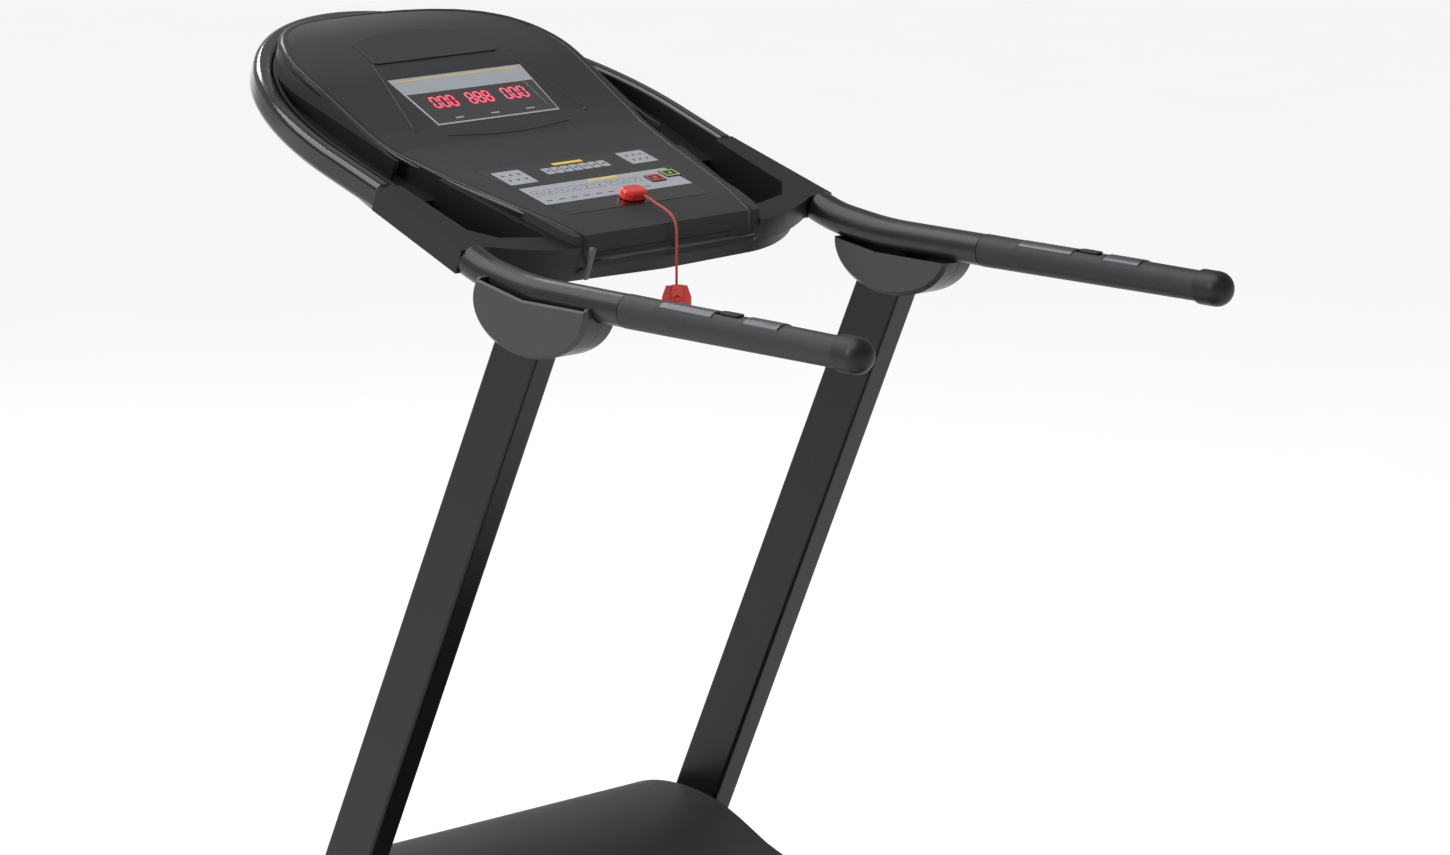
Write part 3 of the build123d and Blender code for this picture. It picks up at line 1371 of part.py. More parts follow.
LEVER_AT = 262
with BuildPart() as strut_barrel:
    with BuildSketch(strut_plane.offset(8)):
        Circle(9)
    extrude(amount=BARREL_END - 8)
    with BuildSketch(across(-8, STRUT_BASE_Y, STRUT_BASE_Z)):
        Circle(11)
    extrude(amount=16)
    with BuildSketch(across(-9, STRUT_BASE_Y, STRUT_BASE_Z)):
        Circle(STRUT_PIN_RADIUS + 0.06)
    extrude(amount=18, mode=Mode.SUBTRACT)
    with BuildSketch(strut_plane.offset(28)):
        Circle(7)
    extrude(amount=BARREL_END - 28 - 6, mode=Mode.SUBTRACT)
    with BuildSketch(strut_plane.offset(BARREL_END - 10)):
        Circle(STRUT_PIN_RADIUS + 0.06)
    extrude(amount=14, mode=Mode.SUBTRACT)
    # lugs of the release lever
    for x in (-6.5, 6.5):
        with BuildSketch(strut_plane.offset(LEVER_AT - 6)):
            with Locations((x, -12)):
                Rectangle(3, 12)
        extrude(amount=12)
    with Locations(
        Plane(origin=strut_plane.from_local_coords((0, -14, LEVER_AT)), z_dir=(1, 0, 0))
    ):
        Cylinder(radius=2, height=30, mode=Mode.SUBTRACT)

eye_hole = STRUT_PIN_RADIUS + STRUT_EYE_PLAY
with BuildPart() as strut_rod:
    with BuildSketch(strut_plane.offset(120)):
        Circle(STRUT_PIN_RADIUS)
    extrude(amount=strut_length - eye_hole - 1 - 120)
    with BuildSketch(strut_plane.offset(120)):
        Circle(6.92)
    extrude(amount=10)
    with BuildSketch(across(-6, STRUT_DECK_Y, STRUT_DECK_Z)):
        Circle(eye_hole + 3.2)
    extrude(amount=12)
    with BuildSketch(across(-7, STRUT_DECK_Y, STRUT_DECK_Z)):
        Circle(eye_hole)
    extrude(amount=14, mode=Mode.SUBTRACT)
keep("strut_rod", strut_rod)

lever_point = strut_plane.from_local_coords((0, -14, LEVER_AT))
with BuildPart() as release_lever:
    with BuildSketch(across(-4.7, lever_point.Y, lever_point.Z)):
        Circle(3.6)
        with BuildLine():
            Polyline((-2, 3), (3, -2), (-24, -34), (-28, -31), close=True)
        make_face()
    extrude(amount=9.4)
    with BuildSketch(across(-14, lever_point.Y, lever_point.Z)):
        with BuildLine():
            Polyline((-19, -27), (-16, -29), (-24, -38), (-30, -34), close=True)
        make_face()
    extrude(amount=28)
    with Locations(Plane(origin=lever_point, z_dir=(1, 0, 0))):
        Cylinder(radius=2, height=30, mode=Mode.SUBTRACT)
keep("release_lever", release_lever)

with BuildPart() as lever_pin:
    with Locations(Plane(origin=lever_point, z_dir=(1, 0, 0))):
        Cylinder(radius=1.95, height=16)
keep_group("strut_barrel", strut_barrel, lever_pin)
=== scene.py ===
import json
from math import cos, pi, radians, sin

import bmesh
import bpy
from mathutils import Matrix, Vector
from mathutils.bvhtree import BVHTree

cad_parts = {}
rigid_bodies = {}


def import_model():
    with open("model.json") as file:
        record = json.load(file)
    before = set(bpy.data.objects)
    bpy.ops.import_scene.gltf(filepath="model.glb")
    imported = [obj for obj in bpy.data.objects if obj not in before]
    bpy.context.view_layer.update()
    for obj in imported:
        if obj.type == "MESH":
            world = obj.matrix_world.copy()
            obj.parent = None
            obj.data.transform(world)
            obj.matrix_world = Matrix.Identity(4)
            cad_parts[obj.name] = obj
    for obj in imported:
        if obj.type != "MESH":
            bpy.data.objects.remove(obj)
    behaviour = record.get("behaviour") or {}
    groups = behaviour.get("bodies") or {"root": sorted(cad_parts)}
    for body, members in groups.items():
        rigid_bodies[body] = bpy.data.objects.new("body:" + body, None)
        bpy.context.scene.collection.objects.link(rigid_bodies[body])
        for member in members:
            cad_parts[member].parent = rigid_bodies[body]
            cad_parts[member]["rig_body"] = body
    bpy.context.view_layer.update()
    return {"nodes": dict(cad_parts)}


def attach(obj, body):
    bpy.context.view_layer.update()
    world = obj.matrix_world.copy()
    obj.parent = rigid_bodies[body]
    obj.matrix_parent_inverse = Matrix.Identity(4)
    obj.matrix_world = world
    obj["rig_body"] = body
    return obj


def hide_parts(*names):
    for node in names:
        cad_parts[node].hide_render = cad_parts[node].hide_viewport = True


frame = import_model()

# The view: the machine is seen from its rear left, a little above the handrails, through a long lens,
# and the frame is filled by the console, the handrails and the uprights.
CAMERA_DISTANCE = 7.5
azimuth, elevation = radians(-47), radians(10.42)
view_right = Vector((cos(azimuth), sin(azimuth), 0))
view_back = Vector((sin(azimuth) * cos(elevation), -cos(azimuth) * cos(elevation), sin(elevation)))
view_up = view_back.cross(view_right)
aim = Vector((0, 0.210, 0)) + 0.041 * view_right + 0.7882 * view_up
camera = bpy.data.objects.new("camera", bpy.data.cameras.new("camera"))
camera.data.lens = 149.5
camera.data.sensor_width = 36
camera.data.clip_end = 60
camera.matrix_world = Matrix((view_right, view_up, view_back)).transposed().to_4x4()
camera.location = aim + CAMERA_DISTANCE * view_back
bpy.context.collection.objects.link(camera)
bpy.context.scene.camera = camera

# The safety cord: a limp braided nylon cord from the key over the lip of the console down to the
# spring clip that the runner wears. It is sewn into the key and into the clip's eye.
cord_points = [
    (0.0105, 0.3035, 1.0790), (0.0104, 0.2930, 1.0762), (0.0098, 0.2805, 1.0710),
    (0.0088, 0.2680, 1.0672), (0.0074, 0.2565, 1.0630), (0.0058, 0.2455, 1.0575),
    (0.0044, 0.2390, 1.0475), (0.0032, 0.2374, 1.0310), (0.0024, 0.2368, 1.0110),
    (0.0020, 0.2366, 0.9910), (0.0020, 0.2366, 0.9725),
]
CORD_DIAMETER = 0.0032


class Shade:
    """One output of a shader node. Adding to it or multiplying it adds a Math node to its finish."""

    def __init__(self, tree, socket=None):
        self.tree = tree
        self.socket = socket

    def node(self, kind, settings=None, sockets=None, output=0):
        """Adds a node, with its settings first, then the values or links of its sockets."""
        made = self.tree.nodes.new("ShaderNode" + kind)
        for name, value in (settings or {}).items():
            setattr(made, name, value)
        for name, value in (sockets or {}).items():
            if isinstance(value, Shade):
                self.tree.links.new(value.socket, made.inputs[name])
            else:
                made.inputs[name].default_value = value
        return Shade(self.tree, made.outputs[output])

    def maths(self, operation, first, second=0.0):
        return self.node("Math", {"operation": operation}, {0: first, 1: second})

    def __add__(self, other):
        return self.maths("ADD", self, other)

    def __mul__(self, other):
        return self.maths("MULTIPLY", self, other)


def finish(name, color, roughness, metallic=0.0, **fixed):
    """A new finish with its shader; varying looks are linked to it afterwards."""
    material = bpy.data.materials.new(name)
    material.use_nodes = True
    shader = material.node_tree.nodes["Principled BSDF"]
    shader.inputs["Base Color"].default_value = (*color, 1)
    shader.inputs["Roughness"].default_value = roughness
    shader.inputs["Metallic"].default_value = metallic
    for socket, value in fixed.items():
        shader.inputs[socket.replace("_", " ")].default_value = value
    return material, shader, Shade(material.node_tree)


def feed(shade, shader, socket, value):
    shade.tree.links.new(value.socket, shader.inputs[socket])


def noise(shade, scale, detail=3.0, roughness=0.5, stretch=None):
    """Noise in the piece's own space, in cycles per metre, optionally stretched along its axes."""
    place = shade.node("TexCoord", output=3)
    if stretch:
        place = shade.node("Mapping", None, {"Vector": place, "Scale": stretch})
    return shade.node(
        "TexNoise", None, {"Vector": place, "Scale": scale, "Detail": detail, "Roughness": roughness}
    )


def relief(shade, shader, height, depth, strength=1.0):
    feed(shade, shader, "Normal", shade.node(
        "Bump", None, {"Height": height, "Distance": depth, "Strength": strength}))


def tint(shade, shader, color, other, mask):
    """Base colour that goes from color to other where mask is high."""
    mixed = shade.node("Mix", {"data_type": "RGBA"}, {0: mask, 6: (*color, 1), 7: (*other, 1)}, output=2)
    feed(shade, shader, "Base Color", mixed)


def braided(name, color):
    material, shader, shade = finish(name, color, 0.55, Sheen_Weight=0.3)
    strand_relief_and_gap_shade = shade.node("TexWave", {"wave_type": "BANDS", "bands_direction": "DIAGONAL"}, {
        "Vector": shade.node("TexCoord", output=3), "Scale": 260.0, "Distortion": 1.5, "Detail": 1.0,
    }, output=1)
    # The gaps between the strands are painted darker: painted shade that follows the braid's relief.
    tint(shade, shader, [0.45 * c for c in color], color, strand_relief_and_gap_shade)
    relief(shade, shader, strand_relief_and_gap_shade, 0.0004)
    return material


cord_curve = bpy.data.curves.new("safety_lanyard", "CURVE")
cord_curve.dimensions = "3D"
cord_line = cord_curve.splines.new("NURBS")
cord_line.points.add(len(cord_points) - 1)
for control, place in zip(cord_line.points, cord_points):
    control.co = (*place, 1)
cord_line.order_u = 3
cord_line.use_endpoint_u = True
cord_curve.resolution_u = 12
cord_curve.bevel_depth = CORD_DIAMETER / 2
cord_curve.bevel_resolution = 4
cord_curve.use_fill_caps = True
cord_curve.materials.append(braided("red_braid", (0.62, 0.03, 0.025)))
lanyard = bpy.data.objects.new("safety_lanyard", cord_curve)
bpy.context.collection.objects.link(lanyard)
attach(lanyard, "safety_key")
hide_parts("safety_cord")

# The floor and the studio: a plain pale floor in a white room, a broad soft sun overhead, and two
# softboxes that give the gloss parts their highlights.
FLOOR_SIZE = 60
ROOM_BRIGHTNESS = 0.36
OVERHEAD_BRIGHTNESS = 2.55
bpy.ops.mesh.primitive_plane_add(size=FLOOR_SIZE)
floor = bpy.context.object
floor.name = "studio_floor"
floor_finish, floor_shader, floor_shade = finish("pale_floor", (0.9, 0.9, 0.9), 0.7)
feed(floor_shade, floor_shader, "Roughness", noise(floor_shade, 3) * 0.1 + 0.6)
floor.data.materials.append(floor_finish)
world = bpy.data.worlds.new("white_room")
world.use_nodes = True
world.node_tree.nodes["Background"].inputs["Color"].default_value = (1, 1, 1, 1)
world.node_tree.nodes["Background"].inputs["Strength"].default_value = ROOM_BRIGHTNESS
bpy.context.scene.world = world
bpy.context.scene.view_settings.view_transform = "Standard"


def softbox(name, place, target, width, height, watts):
    light = bpy.data.lights.new(name, "AREA")
    light.shape = "RECTANGLE"
    light.size = width
    light.size_y = height
    light.energy = watts
    lamp = bpy.data.objects.new(name, light)
    lamp.location = place
    lamp.rotation_euler = (Vector(target) - Vector(place)).to_track_quat("-Z", "Y").to_euler()
    bpy.context.collection.objects.link(lamp)


softbox("key_light", (-3.4, 0.8, 2.4), (0, 0.3, 1.0), 1.2, 1.6, 60)
softbox("rim_light", (1.2, 3.4, 3.4), (0, 0.4, 1.0), 1.2, 0.8, 30)
overhead = bpy.data.lights.new("overhead_light", "SUN")
overhead.energy = OVERHEAD_BRIGHTNESS
overhead.angle = radians(60)
overhead_lamp = bpy.data.objects.new("overhead_light", overhead)
overhead_lamp.rotation_euler = (radians(-18), radians(-22), 0)
bpy.context.collection.objects.link(overhead_lamp)

# The welded base, uprights and handrail tubes: steel tube, ground at the welds and powder coated
# gloss black. The coat has a fine orange-peel surface and is a little uneven in its gloss.
EDGE_ANGLE = radians(30)
EDGE_SEGMENTS = 3
FLAT_ANGLE = radians(0.4)
WELD_DISTANCE = 2e-6


def powder_coat(name, color, roughness=0.28):
    material, shader, shade = finish(name, color, roughness, Specular_IOR_Level=0.3)
    peel = noise(shade, 380, 2)
    feed(shade, shader, "Roughness", noise(shade, 14, 5) * 0.14 + (roughness - 0.06))
    relief(shade, shader, peel, 0.0003, 0.35)
    return material


def eased(name, node, width, material):
    """A copy of a CAD piece's shape with its sharp edges rounded over, standing for that piece."""
    source = frame["nodes"][node]
    mesh = source.data.copy()
    mesh.name = name
    work = bmesh.new()
    work.from_mesh(mesh)
    bmesh.ops.remove_doubles(work, verts=work.verts, dist=WELD_DISTANCE)
    bmesh.ops.dissolve_limit(
        work, angle_limit=FLAT_ANGLE, verts=work.verts, edges=work.edges, delimit={"NORMAL"})
    for face in work.faces:
        face.smooth = True
        face.material_index = 0
    for edge in work.edges:
        edge.smooth = not (len(edge.link_faces) == 2 and edge.calc_face_angle(0) > EDGE_ANGLE)
    work.to_mesh(mesh)
    work.free()
    mesh.materials.clear()
    mesh.materials.append(material)
    piece = bpy.data.objects.new(name, mesh)
    bpy.context.collection.objects.link(piece)
    if width:
        rounding = piece.modifiers.new("rounding", "BEVEL")
        rounding.width = width
        rounding.segments = EDGE_SEGMENTS
        rounding.limit_method = "ANGLE"
        rounding.angle_limit = EDGE_ANGLE
        rounding.use_clamp_overlap = True
        rounding.miter_outer = "MITER_ARC"
        rounding.harden_normals = False
    shading = piece.modifiers.new("shading", "WEIGHTED_NORMAL")
    shading.keep_sharp = True
    shading.weight = 80
    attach(piece, source["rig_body"])
    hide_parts(node)
    return piece


frame_coat = powder_coat("black_powder_coat", (0.006, 0.006, 0.0056))
for node, width in (
    ("base_side_tubes", 0.0012), ("base_cross_tubes", 0.0012), ("frame_brackets", 0.0006),
    ("upright_left", 0.003), ("upright_right", 0.003), ("handrail_tubes", 0.0004),
    ("deck_frame", 0.0012), ("deck_brackets", 0.0006), ("motor_tray", 0.0004),
):
    eased(node + "_coated", node, width, frame_coat)

# The moulded shells: the console's shells, the bracket covers, the boots, the motor hood and the
# small keys and caps are injection-moulded ABS with a fine spark-eroded grain. The large ones are
# screwed together from below.


def moulded(name, color, roughness, grain=900, depth=0.00012, coat=0.0):
    material, shader, shade = finish(
        name, color, roughness, Specular_IOR_Level=0.3, Coat_Roughness=0.12)
    shader.inputs["Coat Weight"].default_value = coat
    clouds = noise(shade, 11, 4)
    tint(shade, shader, [0.88 * c for c in color], [1.12 * c for c in color], clouds)
    feed(shade, shader, "Roughness", noise(shade, 60, 5) * 0.12 + (roughness - 0.06))
    relief(shade, shader, noise(shade, grain, 2, 0.6), depth, 0.5)
    return material


shell_grey = moulded("grained_grey_shell", (0.026, 0.026, 0.029), 0.46)
shell_black = moulded("satin_black_shell", (0.008, 0.008, 0.009), 0.42)
satin_black = moulded("satin_black_sleeve", (0.012, 0.012, 0.0125), 0.34, coat=0.1)
cover_grey = moulded("satin_grey_cover", (0.034, 0.035, 0.038), 0.36, coat=0.08)
console_slope = Matrix.Translation((0, 0.279, 1.0355)) @ Matrix.Rotation(radians(20.5), 4, "X")
for node, width, material, slot in (
    ("console_upper_shell", 0.0008, shell_grey, "shell_grey"),
    ("console_lower_shell", 0.0008, shell_black, "shell_black"),
    ("bracket_covers_left", 0.0015, cover_grey, "cover_grey"),
    ("bracket_covers_right", 0.0015, cover_grey, "cover_grey"),
    ("upright_boots", 0.0015, shell_black, "shell_black"),
    ("motor_hood", 0.004, shell_grey, "shell_grey"),
    ("rear_end_caps", 0.002, shell_grey, "shell_grey"),
    ("foot_rail_left", 0.0008, shell_black, "shell_black"),
    ("foot_rail_right", 0.0008, shell_black, "shell_black"),
    ("handrail_end_caps", 0.0, shell_black, "shell_black"),
    ("rail_sleeves", 0.0005, satin_black, "cover_grey"),
    ("release_lever", 0.0006, shell_black, "shell_black"),
    ("rocker_key_left", 0.0008, shell_black, "shell_black"),
    ("rocker_key_right", 0.0008, shell_black, "shell_black"),
    ("power_inlet", 0.0003, shell_black, "shell_black"),
    ("reset_button", 0.0004, shell_black, "shell_black"),
    ("transport_wheel_left", 0.0008, shell_black, "shell_black"),
    ("transport_wheel_right", 0.0008, shell_black, "shell_black"),
):
    eased(node + "_moulded", node, width, material)

# The hoop round the console: a thick gloss-black moulding, polished, that clips to the lower shell
# round the two trays.
hoop_black = moulded("gloss_black_hoop", (0.006, 0.006, 0.007), 0.14, grain=40, depth=0.0004, coat=0.6)
eased("console_hoop_polished", "console_hoop", 0.0012, hoop_black)

# The grips: soft black elastomer over the handrail tubes, with a leather-like grain. With them come
# the steels: the plates in the grips that read the pulse, the bolts, pins, rollers and the strut's rod.


def soft_grip(name, color):
    material, shader, shade = finish(name, color, 0.52, Specular_IOR_Level=0.3)
    cells = shade.node("TexVoronoi", {"feature": "DISTANCE_TO_EDGE"}, {
        "Vector": shade.node("TexCoord", output=3), "Scale": 420.0})
    tint(shade, shader, color, [1.5 * c for c in color], noise(shade, 25, 4))
    feed(shade, shader, "Roughness", noise(shade, 90, 4) * 0.16 + 0.42)
    relief(shade, shader, cells, 0.0006, 0.35)
    return material


grip_black = soft_grip("grained_black_grip", (0.014, 0.0145, 0.016))
for side in ("left", "right"):
    eased(f"grip_{side}_grained", f"grip_{side}", 0.001, grip_black)


def brushed(name, color, roughness, direction, metallic=1.0):
    material, shader, shade = finish(name, color, roughness, metallic)
    lines = noise(shade, 700, 2, 0.6, stretch=direction)
    feed(shade, shader, "Roughness", lines * 0.22 + (roughness - 0.11))
    relief(shade, shader, lines, 0.0001, 0.25)
    return material


sensor_steel = brushed("brushed_sensor_steel", (0.13, 0.135, 0.145), 0.34, (1, 0.04, 1))
zinc_plate = brushed("zinc_plate", (0.50, 0.50, 0.48), 0.38, (1, 1, 0.3))
turned_steel = brushed("turned_steel", (0.55, 0.55, 0.54), 0.3, (0.05, 1, 1))
bare_aluminium = brushed("bare_aluminium", (0.62, 0.63, 0.65), 0.36, (1, 0.1, 1))
polished_rod = brushed("polished_rod", (0.8, 0.8, 0.8), 0.12, (1, 0.03, 1))
for node, width, material, slot in (
    ("pulse_sensor_plates", 0.0003, sensor_steel, "sensor_steel"),
    ("base_bolts_and_pins", 0.0005, zinc_plate, "zinc"),
    ("deck_bolts_and_pins", 0.0005, zinc_plate, "zinc"),
    ("roller_axles", 0.0003, zinc_plate, "zinc"),
    ("front_roller", 0.0008, turned_steel, "roller_steel"),
    ("rear_roller", 0.0008, turned_steel, "roller_steel"),
    ("motor_shaft", 0.0008, turned_steel, "roller_steel"),
    ("motor_controller", 0.0003, bare_aluminium, "heat_sink"),
    ("strut_rod", 0.0004, polished_rod, "chrome_rod"),
):
    eased(node + "_steel", node, width, material)

# Painted and rubber parts below the deck: the motor's and the strut's satin paint, the ribbed drive
# belt, the pads, plugs, cushions and turning feet.
machine_paint = powder_coat("satin_machine_paint", (0.02, 0.02, 0.022), 0.4)
eased("drive_motor_painted", "drive_motor", 0.0008, machine_paint)
eased("strut_barrel_painted", "strut_barrel", 0.0004, machine_paint)
rubber = soft_grip("moulded_rubber", (0.014, 0.014, 0.014))
for node, width in (
    ("base_foot_pads_and_plugs", 0.0012), ("cushions_and_bushes", 0.0006), ("drive_belt", 0.0003),
    ("incline_foot_left", 0.001), ("incline_foot_right", 0.001),
):
    eased(node + "_rubber", node, width, rubber)

# The running surface: a PVC belt with a small diamond grip pattern pressed into it, over a waxed
# board of laminated fibre.


def diamond_grip(name, color):
    material, shader, shade = finish(name, color, 0.62)
    place = shade.node("TexCoord", output=3)
    across = shade.node("SeparateXYZ", None, {0: place})
    along = shade.node("SeparateXYZ", None, {0: place}, output=1)
    rows = [
        shade.maths("ABSOLUTE", shade.maths("SINE", (across + along * slant) * (pi / 0.0042)))
        for slant in (0.6, -0.6)
    ]
    diamond_relief_and_shade = shade.maths("POWER", shade.maths("MINIMUM", *rows), 0.5)
    # The grooves between the diamonds are painted darker and the raised diamonds lighter: painted shade
    # and painted highlight that follow the pressed relief.
    tint(shade, shader, [0.6 * c for c in color], [1.3 * c for c in color], diamond_relief_and_shade)
    feed(shade, shader, "Roughness", noise(shade, 8, 5) * 0.2 + 0.5)
    relief(shade, shader, diamond_relief_and_shade, 0.0007, 0.6)
    return material


def waxed_board(name, color):
    material, shader, shade = finish(name, color, 0.4)
    fibres = noise(shade, 300, 6, 0.7, stretch=(1, 0.06, 1))
    tint(shade, shader, [0.6 * c for c in color], color, fibres)
    relief(shade, shader, fibres, 0.0002, 0.3)
    return material


eased("running_belt_pressed", "running_belt", 0.0004, diamond_grip(
    "diamond_belt", (0.016, 0.016, 0.017)))
eased("running_board_waxed", "running_board", 0.0006, waxed_board(
    "laminated_board", (0.32, 0.2, 0.1)))

# The red pieces: the magnetic safety key, its spring clip and the mains switch are polished red
# moulded plastic. The clip hangs on the safety cord.
red_gloss = moulded("gloss_red_plastic", (0.62, 0.028, 0.02), 0.25, grain=60, depth=0.0002, coat=0.4)
for node, width in (
    ("safety_key", 0.0012), ("clip_body", 0.0006), ("clip_jaw", 0.0006), ("power_switch", 0.0005),
):
    eased(node + "_red", node, width, red_gloss)

# The console's printed and lit faces lie on three sloping planes: the display label, the keypad
# below it and the badge plate above it. Each is a film stuck into its own recess in the shell.


def console_face(up_slope, out, tilt):
    place = console_slope @ Vector((0, up_slope, out))
    return Matrix.Translation(place) @ Matrix.Rotation(radians(tilt), 4, "X")


display_face = console_face(0.330, 0.029, 31.5)
keypad_face = console_face(0.098, 0.0214, 17.1)
WINDOW_WIDTH, WINDOW_HEIGHT, WINDOW_LOW = 0.190, 0.048, -0.0085
DISPLAY_TOP, WINDOW_TOP, KEYPAD_TOP, KEY_TOP = 0.0006, 0.0004, 0.0003, 0.0017
TILE, INK = 0.00012, 0.0001


def film(name, outlines, face, low, high, material):
    """Flat shapes on a face, each an outline of points, raised from low to high as one piece."""
    work = bmesh.new()
    for outline in outlines:
        base = [work.verts.new((*point, low)) for point in outline]
        top = [work.verts.new((*point, high)) for point in outline]
        work.faces.new(top)
        work.faces.new(base[::-1])
        for index in range(len(base)):
            following = (index + 1) % len(base)
            work.faces.new((base[index], base[following], top[following], top[index]))
    bmesh.ops.recalc_face_normals(work, faces=work.faces)
    mesh = bpy.data.meshes.new(name)
    work.to_mesh(mesh)
    work.free()
    mesh.transform(face)
    mesh.materials.append(material)
    piece = bpy.data.objects.new(name, mesh)
    bpy.context.collection.objects.link(piece)
    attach(piece, "base")
    return piece


def oblong(x, y, width, height, radius=0.0, steps=3):
    """A rectangle's outline about its middle, with rounded corners where radius is given."""
    if not radius:
        return [(x - width / 2, y - height / 2), (x + width / 2, y - height / 2),
                (x + width / 2, y + height / 2), (x - width / 2, y + height / 2)]
    outline = []
    for corner, (sx, sy) in enumerate(((1, 1), (-1, 1), (-1, -1), (1, -1))):
        for step in range(steps + 1):
            turn = (corner + step / steps) * pi / 2
            outline.append((x + sx * (width / 2 - radius) + radius * cos(turn),
                            y + sy * (height / 2 - radius) + radius * sin(turn)))
    return outline


def border(x, y, width, height, line):
    """Four strips round a rectangle."""
    return [
        oblong(x, y + height / 2, width + line, line), oblong(x, y - height / 2, width + line, line),
        oblong(x - width / 2, y, line, height - line), oblong(x + width / 2, y, line, height - line),
    ]


def printed_film(name, color, roughness, metallic=0.0, coat=0.3, glow=0.0):
    material, shader, shade = finish(name, color, roughness, metallic, Coat_Roughness=0.08)
    shader.inputs["Coat Weight"].default_value = coat
    tint(shade, shader, [0.93 * c for c in color], [1.05 * c for c in color], noise(shade, 35, 3))
    feed(shade, shader, "Roughness", noise(shade, 120, 3) * 0.08 + (roughness - 0.04))
    if glow:
        shader.inputs["Emission Color"].default_value = (*color, 1)
        shader.inputs["Emission Strength"].default_value = glow
    return material


silver_film = printed_film("silver_label_film", (0.43, 0.45, 0.48), 0.34, metallic=0.35)
smoked_window = printed_film("smoked_window", (0.006, 0.004, 0.005), 0.08, coat=1.0)
keypad_film = printed_film("black_keypad_film", (0.004, 0.004, 0.0045), 0.28, coat=0.2)
badge_film = printed_film("dark_badge_film", (0.004, 0.004, 0.0045), 0.3, coat=0.2)
board_green = printed_film("green_solder_mask", (0.01, 0.09, 0.03), 0.35)
for node, width, material, slot in (
    ("display_panel", 0.0002, silver_film, "label_silver"),
    ("display_window", 0.0002, smoked_window, "window_dark"),
    ("keypad_overlay", 0.0002, keypad_film, "window_dark"),
    ("badge_plate", 0.0004, badge_film, "hoop_black"),
    ("console_circuit_boards", 0.0, board_green, "board_green"),
):
    eased(node + "_film", node, width, material)

# The display: three groups of lit red digits that shine through the window's face, the label's thin
# yellow line along its upper edge, its black margin round the window, and a pale caption per group.
DIGIT_WIDTH, DIGIT_HEIGHT, DIGIT_PITCH, SEGMENT = 0.0095, 0.0200, 0.0145, 0.0024
SEGMENTS = {"0": "abcdef", "8": "abcdefg"}
GROUPS = ((-0.062, "000"), (0.0, "888"), (0.062, "000"))
DIGITS_UP = 0.004
LABEL_WIDTH = 0.212
MARGIN_FOOT, MARGIN_FOOT_REACH, MARGIN_LOW_REACH, MARGIN_TOP_REACH = -0.0445, 0.1045, 0.1055, 0.1100


def digit(x, y, figure):
    """Seven-segment figure: the outlines of its lit segments."""
    places = {
        "a": (0, 0.5, True), "d": (0, -0.5, True), "g": (0, 0, True),
        "b": (0.5, 0.25, False), "c": (0.5, -0.25, False),
        "f": (-0.5, 0.25, False), "e": (-0.5, -0.25, False),
    }
    lit = []
    for segment in SEGMENTS[figure]:
        dx, dy, level = places[segment]
        length = DIGIT_WIDTH - SEGMENT if level else DIGIT_HEIGHT / 2 - SEGMENT
        size = (length, SEGMENT) if level else (SEGMENT, length)
        lit.append(oblong(x + dx * DIGIT_WIDTH, y + dy * DIGIT_HEIGHT, *size))
    return lit


lit_outlines = []
for middle, figures in GROUPS:
    first = middle - (len(figures) - 1) / 2 * DIGIT_PITCH
    for place, figure in enumerate(figures):
        lit_outlines += digit(first + place * DIGIT_PITCH, WINDOW_LOW + DIGITS_UP, figure)
film("display_digits", lit_outlines, display_face, WINDOW_TOP, WINDOW_TOP + INK,
             printed_film("lit_red_segments", (0.95, 0.06, 0.12), 0.3, glow=1.6))
yellow_ink = printed_film("yellow_ink", (0.72, 0.5, 0.06), 0.4)
grey_ink = printed_film("dark_grey_ink", (0.045, 0.046, 0.05), 0.3)
film("display_yellow_line", [oblong(0, 0.0425, LABEL_WIDTH, 0.0016)], display_face,
             DISPLAY_TOP, DISPLAY_TOP + INK, yellow_ink)
window_top = WINDOW_LOW + WINDOW_HEIGHT / 2
window_foot = WINDOW_LOW - WINDOW_HEIGHT / 2
black_margin = [[
    (-MARGIN_FOOT_REACH, MARGIN_FOOT), (MARGIN_FOOT_REACH, MARGIN_FOOT),
    (MARGIN_LOW_REACH, window_foot), (-MARGIN_LOW_REACH, window_foot),
]]
for way in (-1, 1):
    black_margin.append([
        (way * WINDOW_WIDTH / 2, window_foot), (way * MARGIN_LOW_REACH, window_foot),
        (way * MARGIN_TOP_REACH, window_top), (way * WINDOW_WIDTH / 2, window_top),
    ][::way])
film("display_black_margin", black_margin, display_face, DISPLAY_TOP, DISPLAY_TOP + INK,
             smoked_window)
captions = [oblong(middle, -0.0375, 0.014, 0.0024) for middle, figures in GROUPS]
film("display_captions", captions, display_face, DISPLAY_TOP + INK, DISPLAY_TOP + 2 * INK,
             silver_film)

# The keypad: three silver fields and a row of seven silver keys with dark arrow marks, printed on the
# overlay, yellow captions left blank, and the raised start and stop keys with green and red rims.
CORNER = 0.002
ROW_KEYS, ROW_START, ROW_PITCH, ROW_UP = 7, -0.048, 0.0162, 0.045
FIELD_KEYS, FIELD_START, FIELD_PITCH, FIELD_UP, FIELD_CAPTION_UP = 9, -0.118, 0.0215, -0.008, -0.0300
TILE_TOP, MARK_TOP = KEYPAD_TOP + TILE, KEYPAD_TOP + 2 * INK
row = [ROW_START + column * ROW_PITCH for column in range(ROW_KEYS)]
silver_tiles = [oblong(*tile, radius=CORNER) for tile in (
    (-0.110, 0.041, 0.048, 0.038), (0.113, 0.049, 0.046, 0.034), (-0.004, -0.0145, 0.258, 0.050))]
silver_tiles += [oblong(x, ROW_UP, 0.0140, 0.0170, radius=CORNER) for x in row]
film("keypad_tiles", silver_tiles, keypad_face, KEYPAD_TOP, TILE_TOP, silver_film)


def arrow(x, y, size, way):
    """A triangle's outline that points up the slope where way is 1, down it where way is -1."""
    return [(x - size * way, y - size * 0.6 * way), (x + size * way, y - size * 0.6 * way),
            (x, y + size * 0.8 * way)]


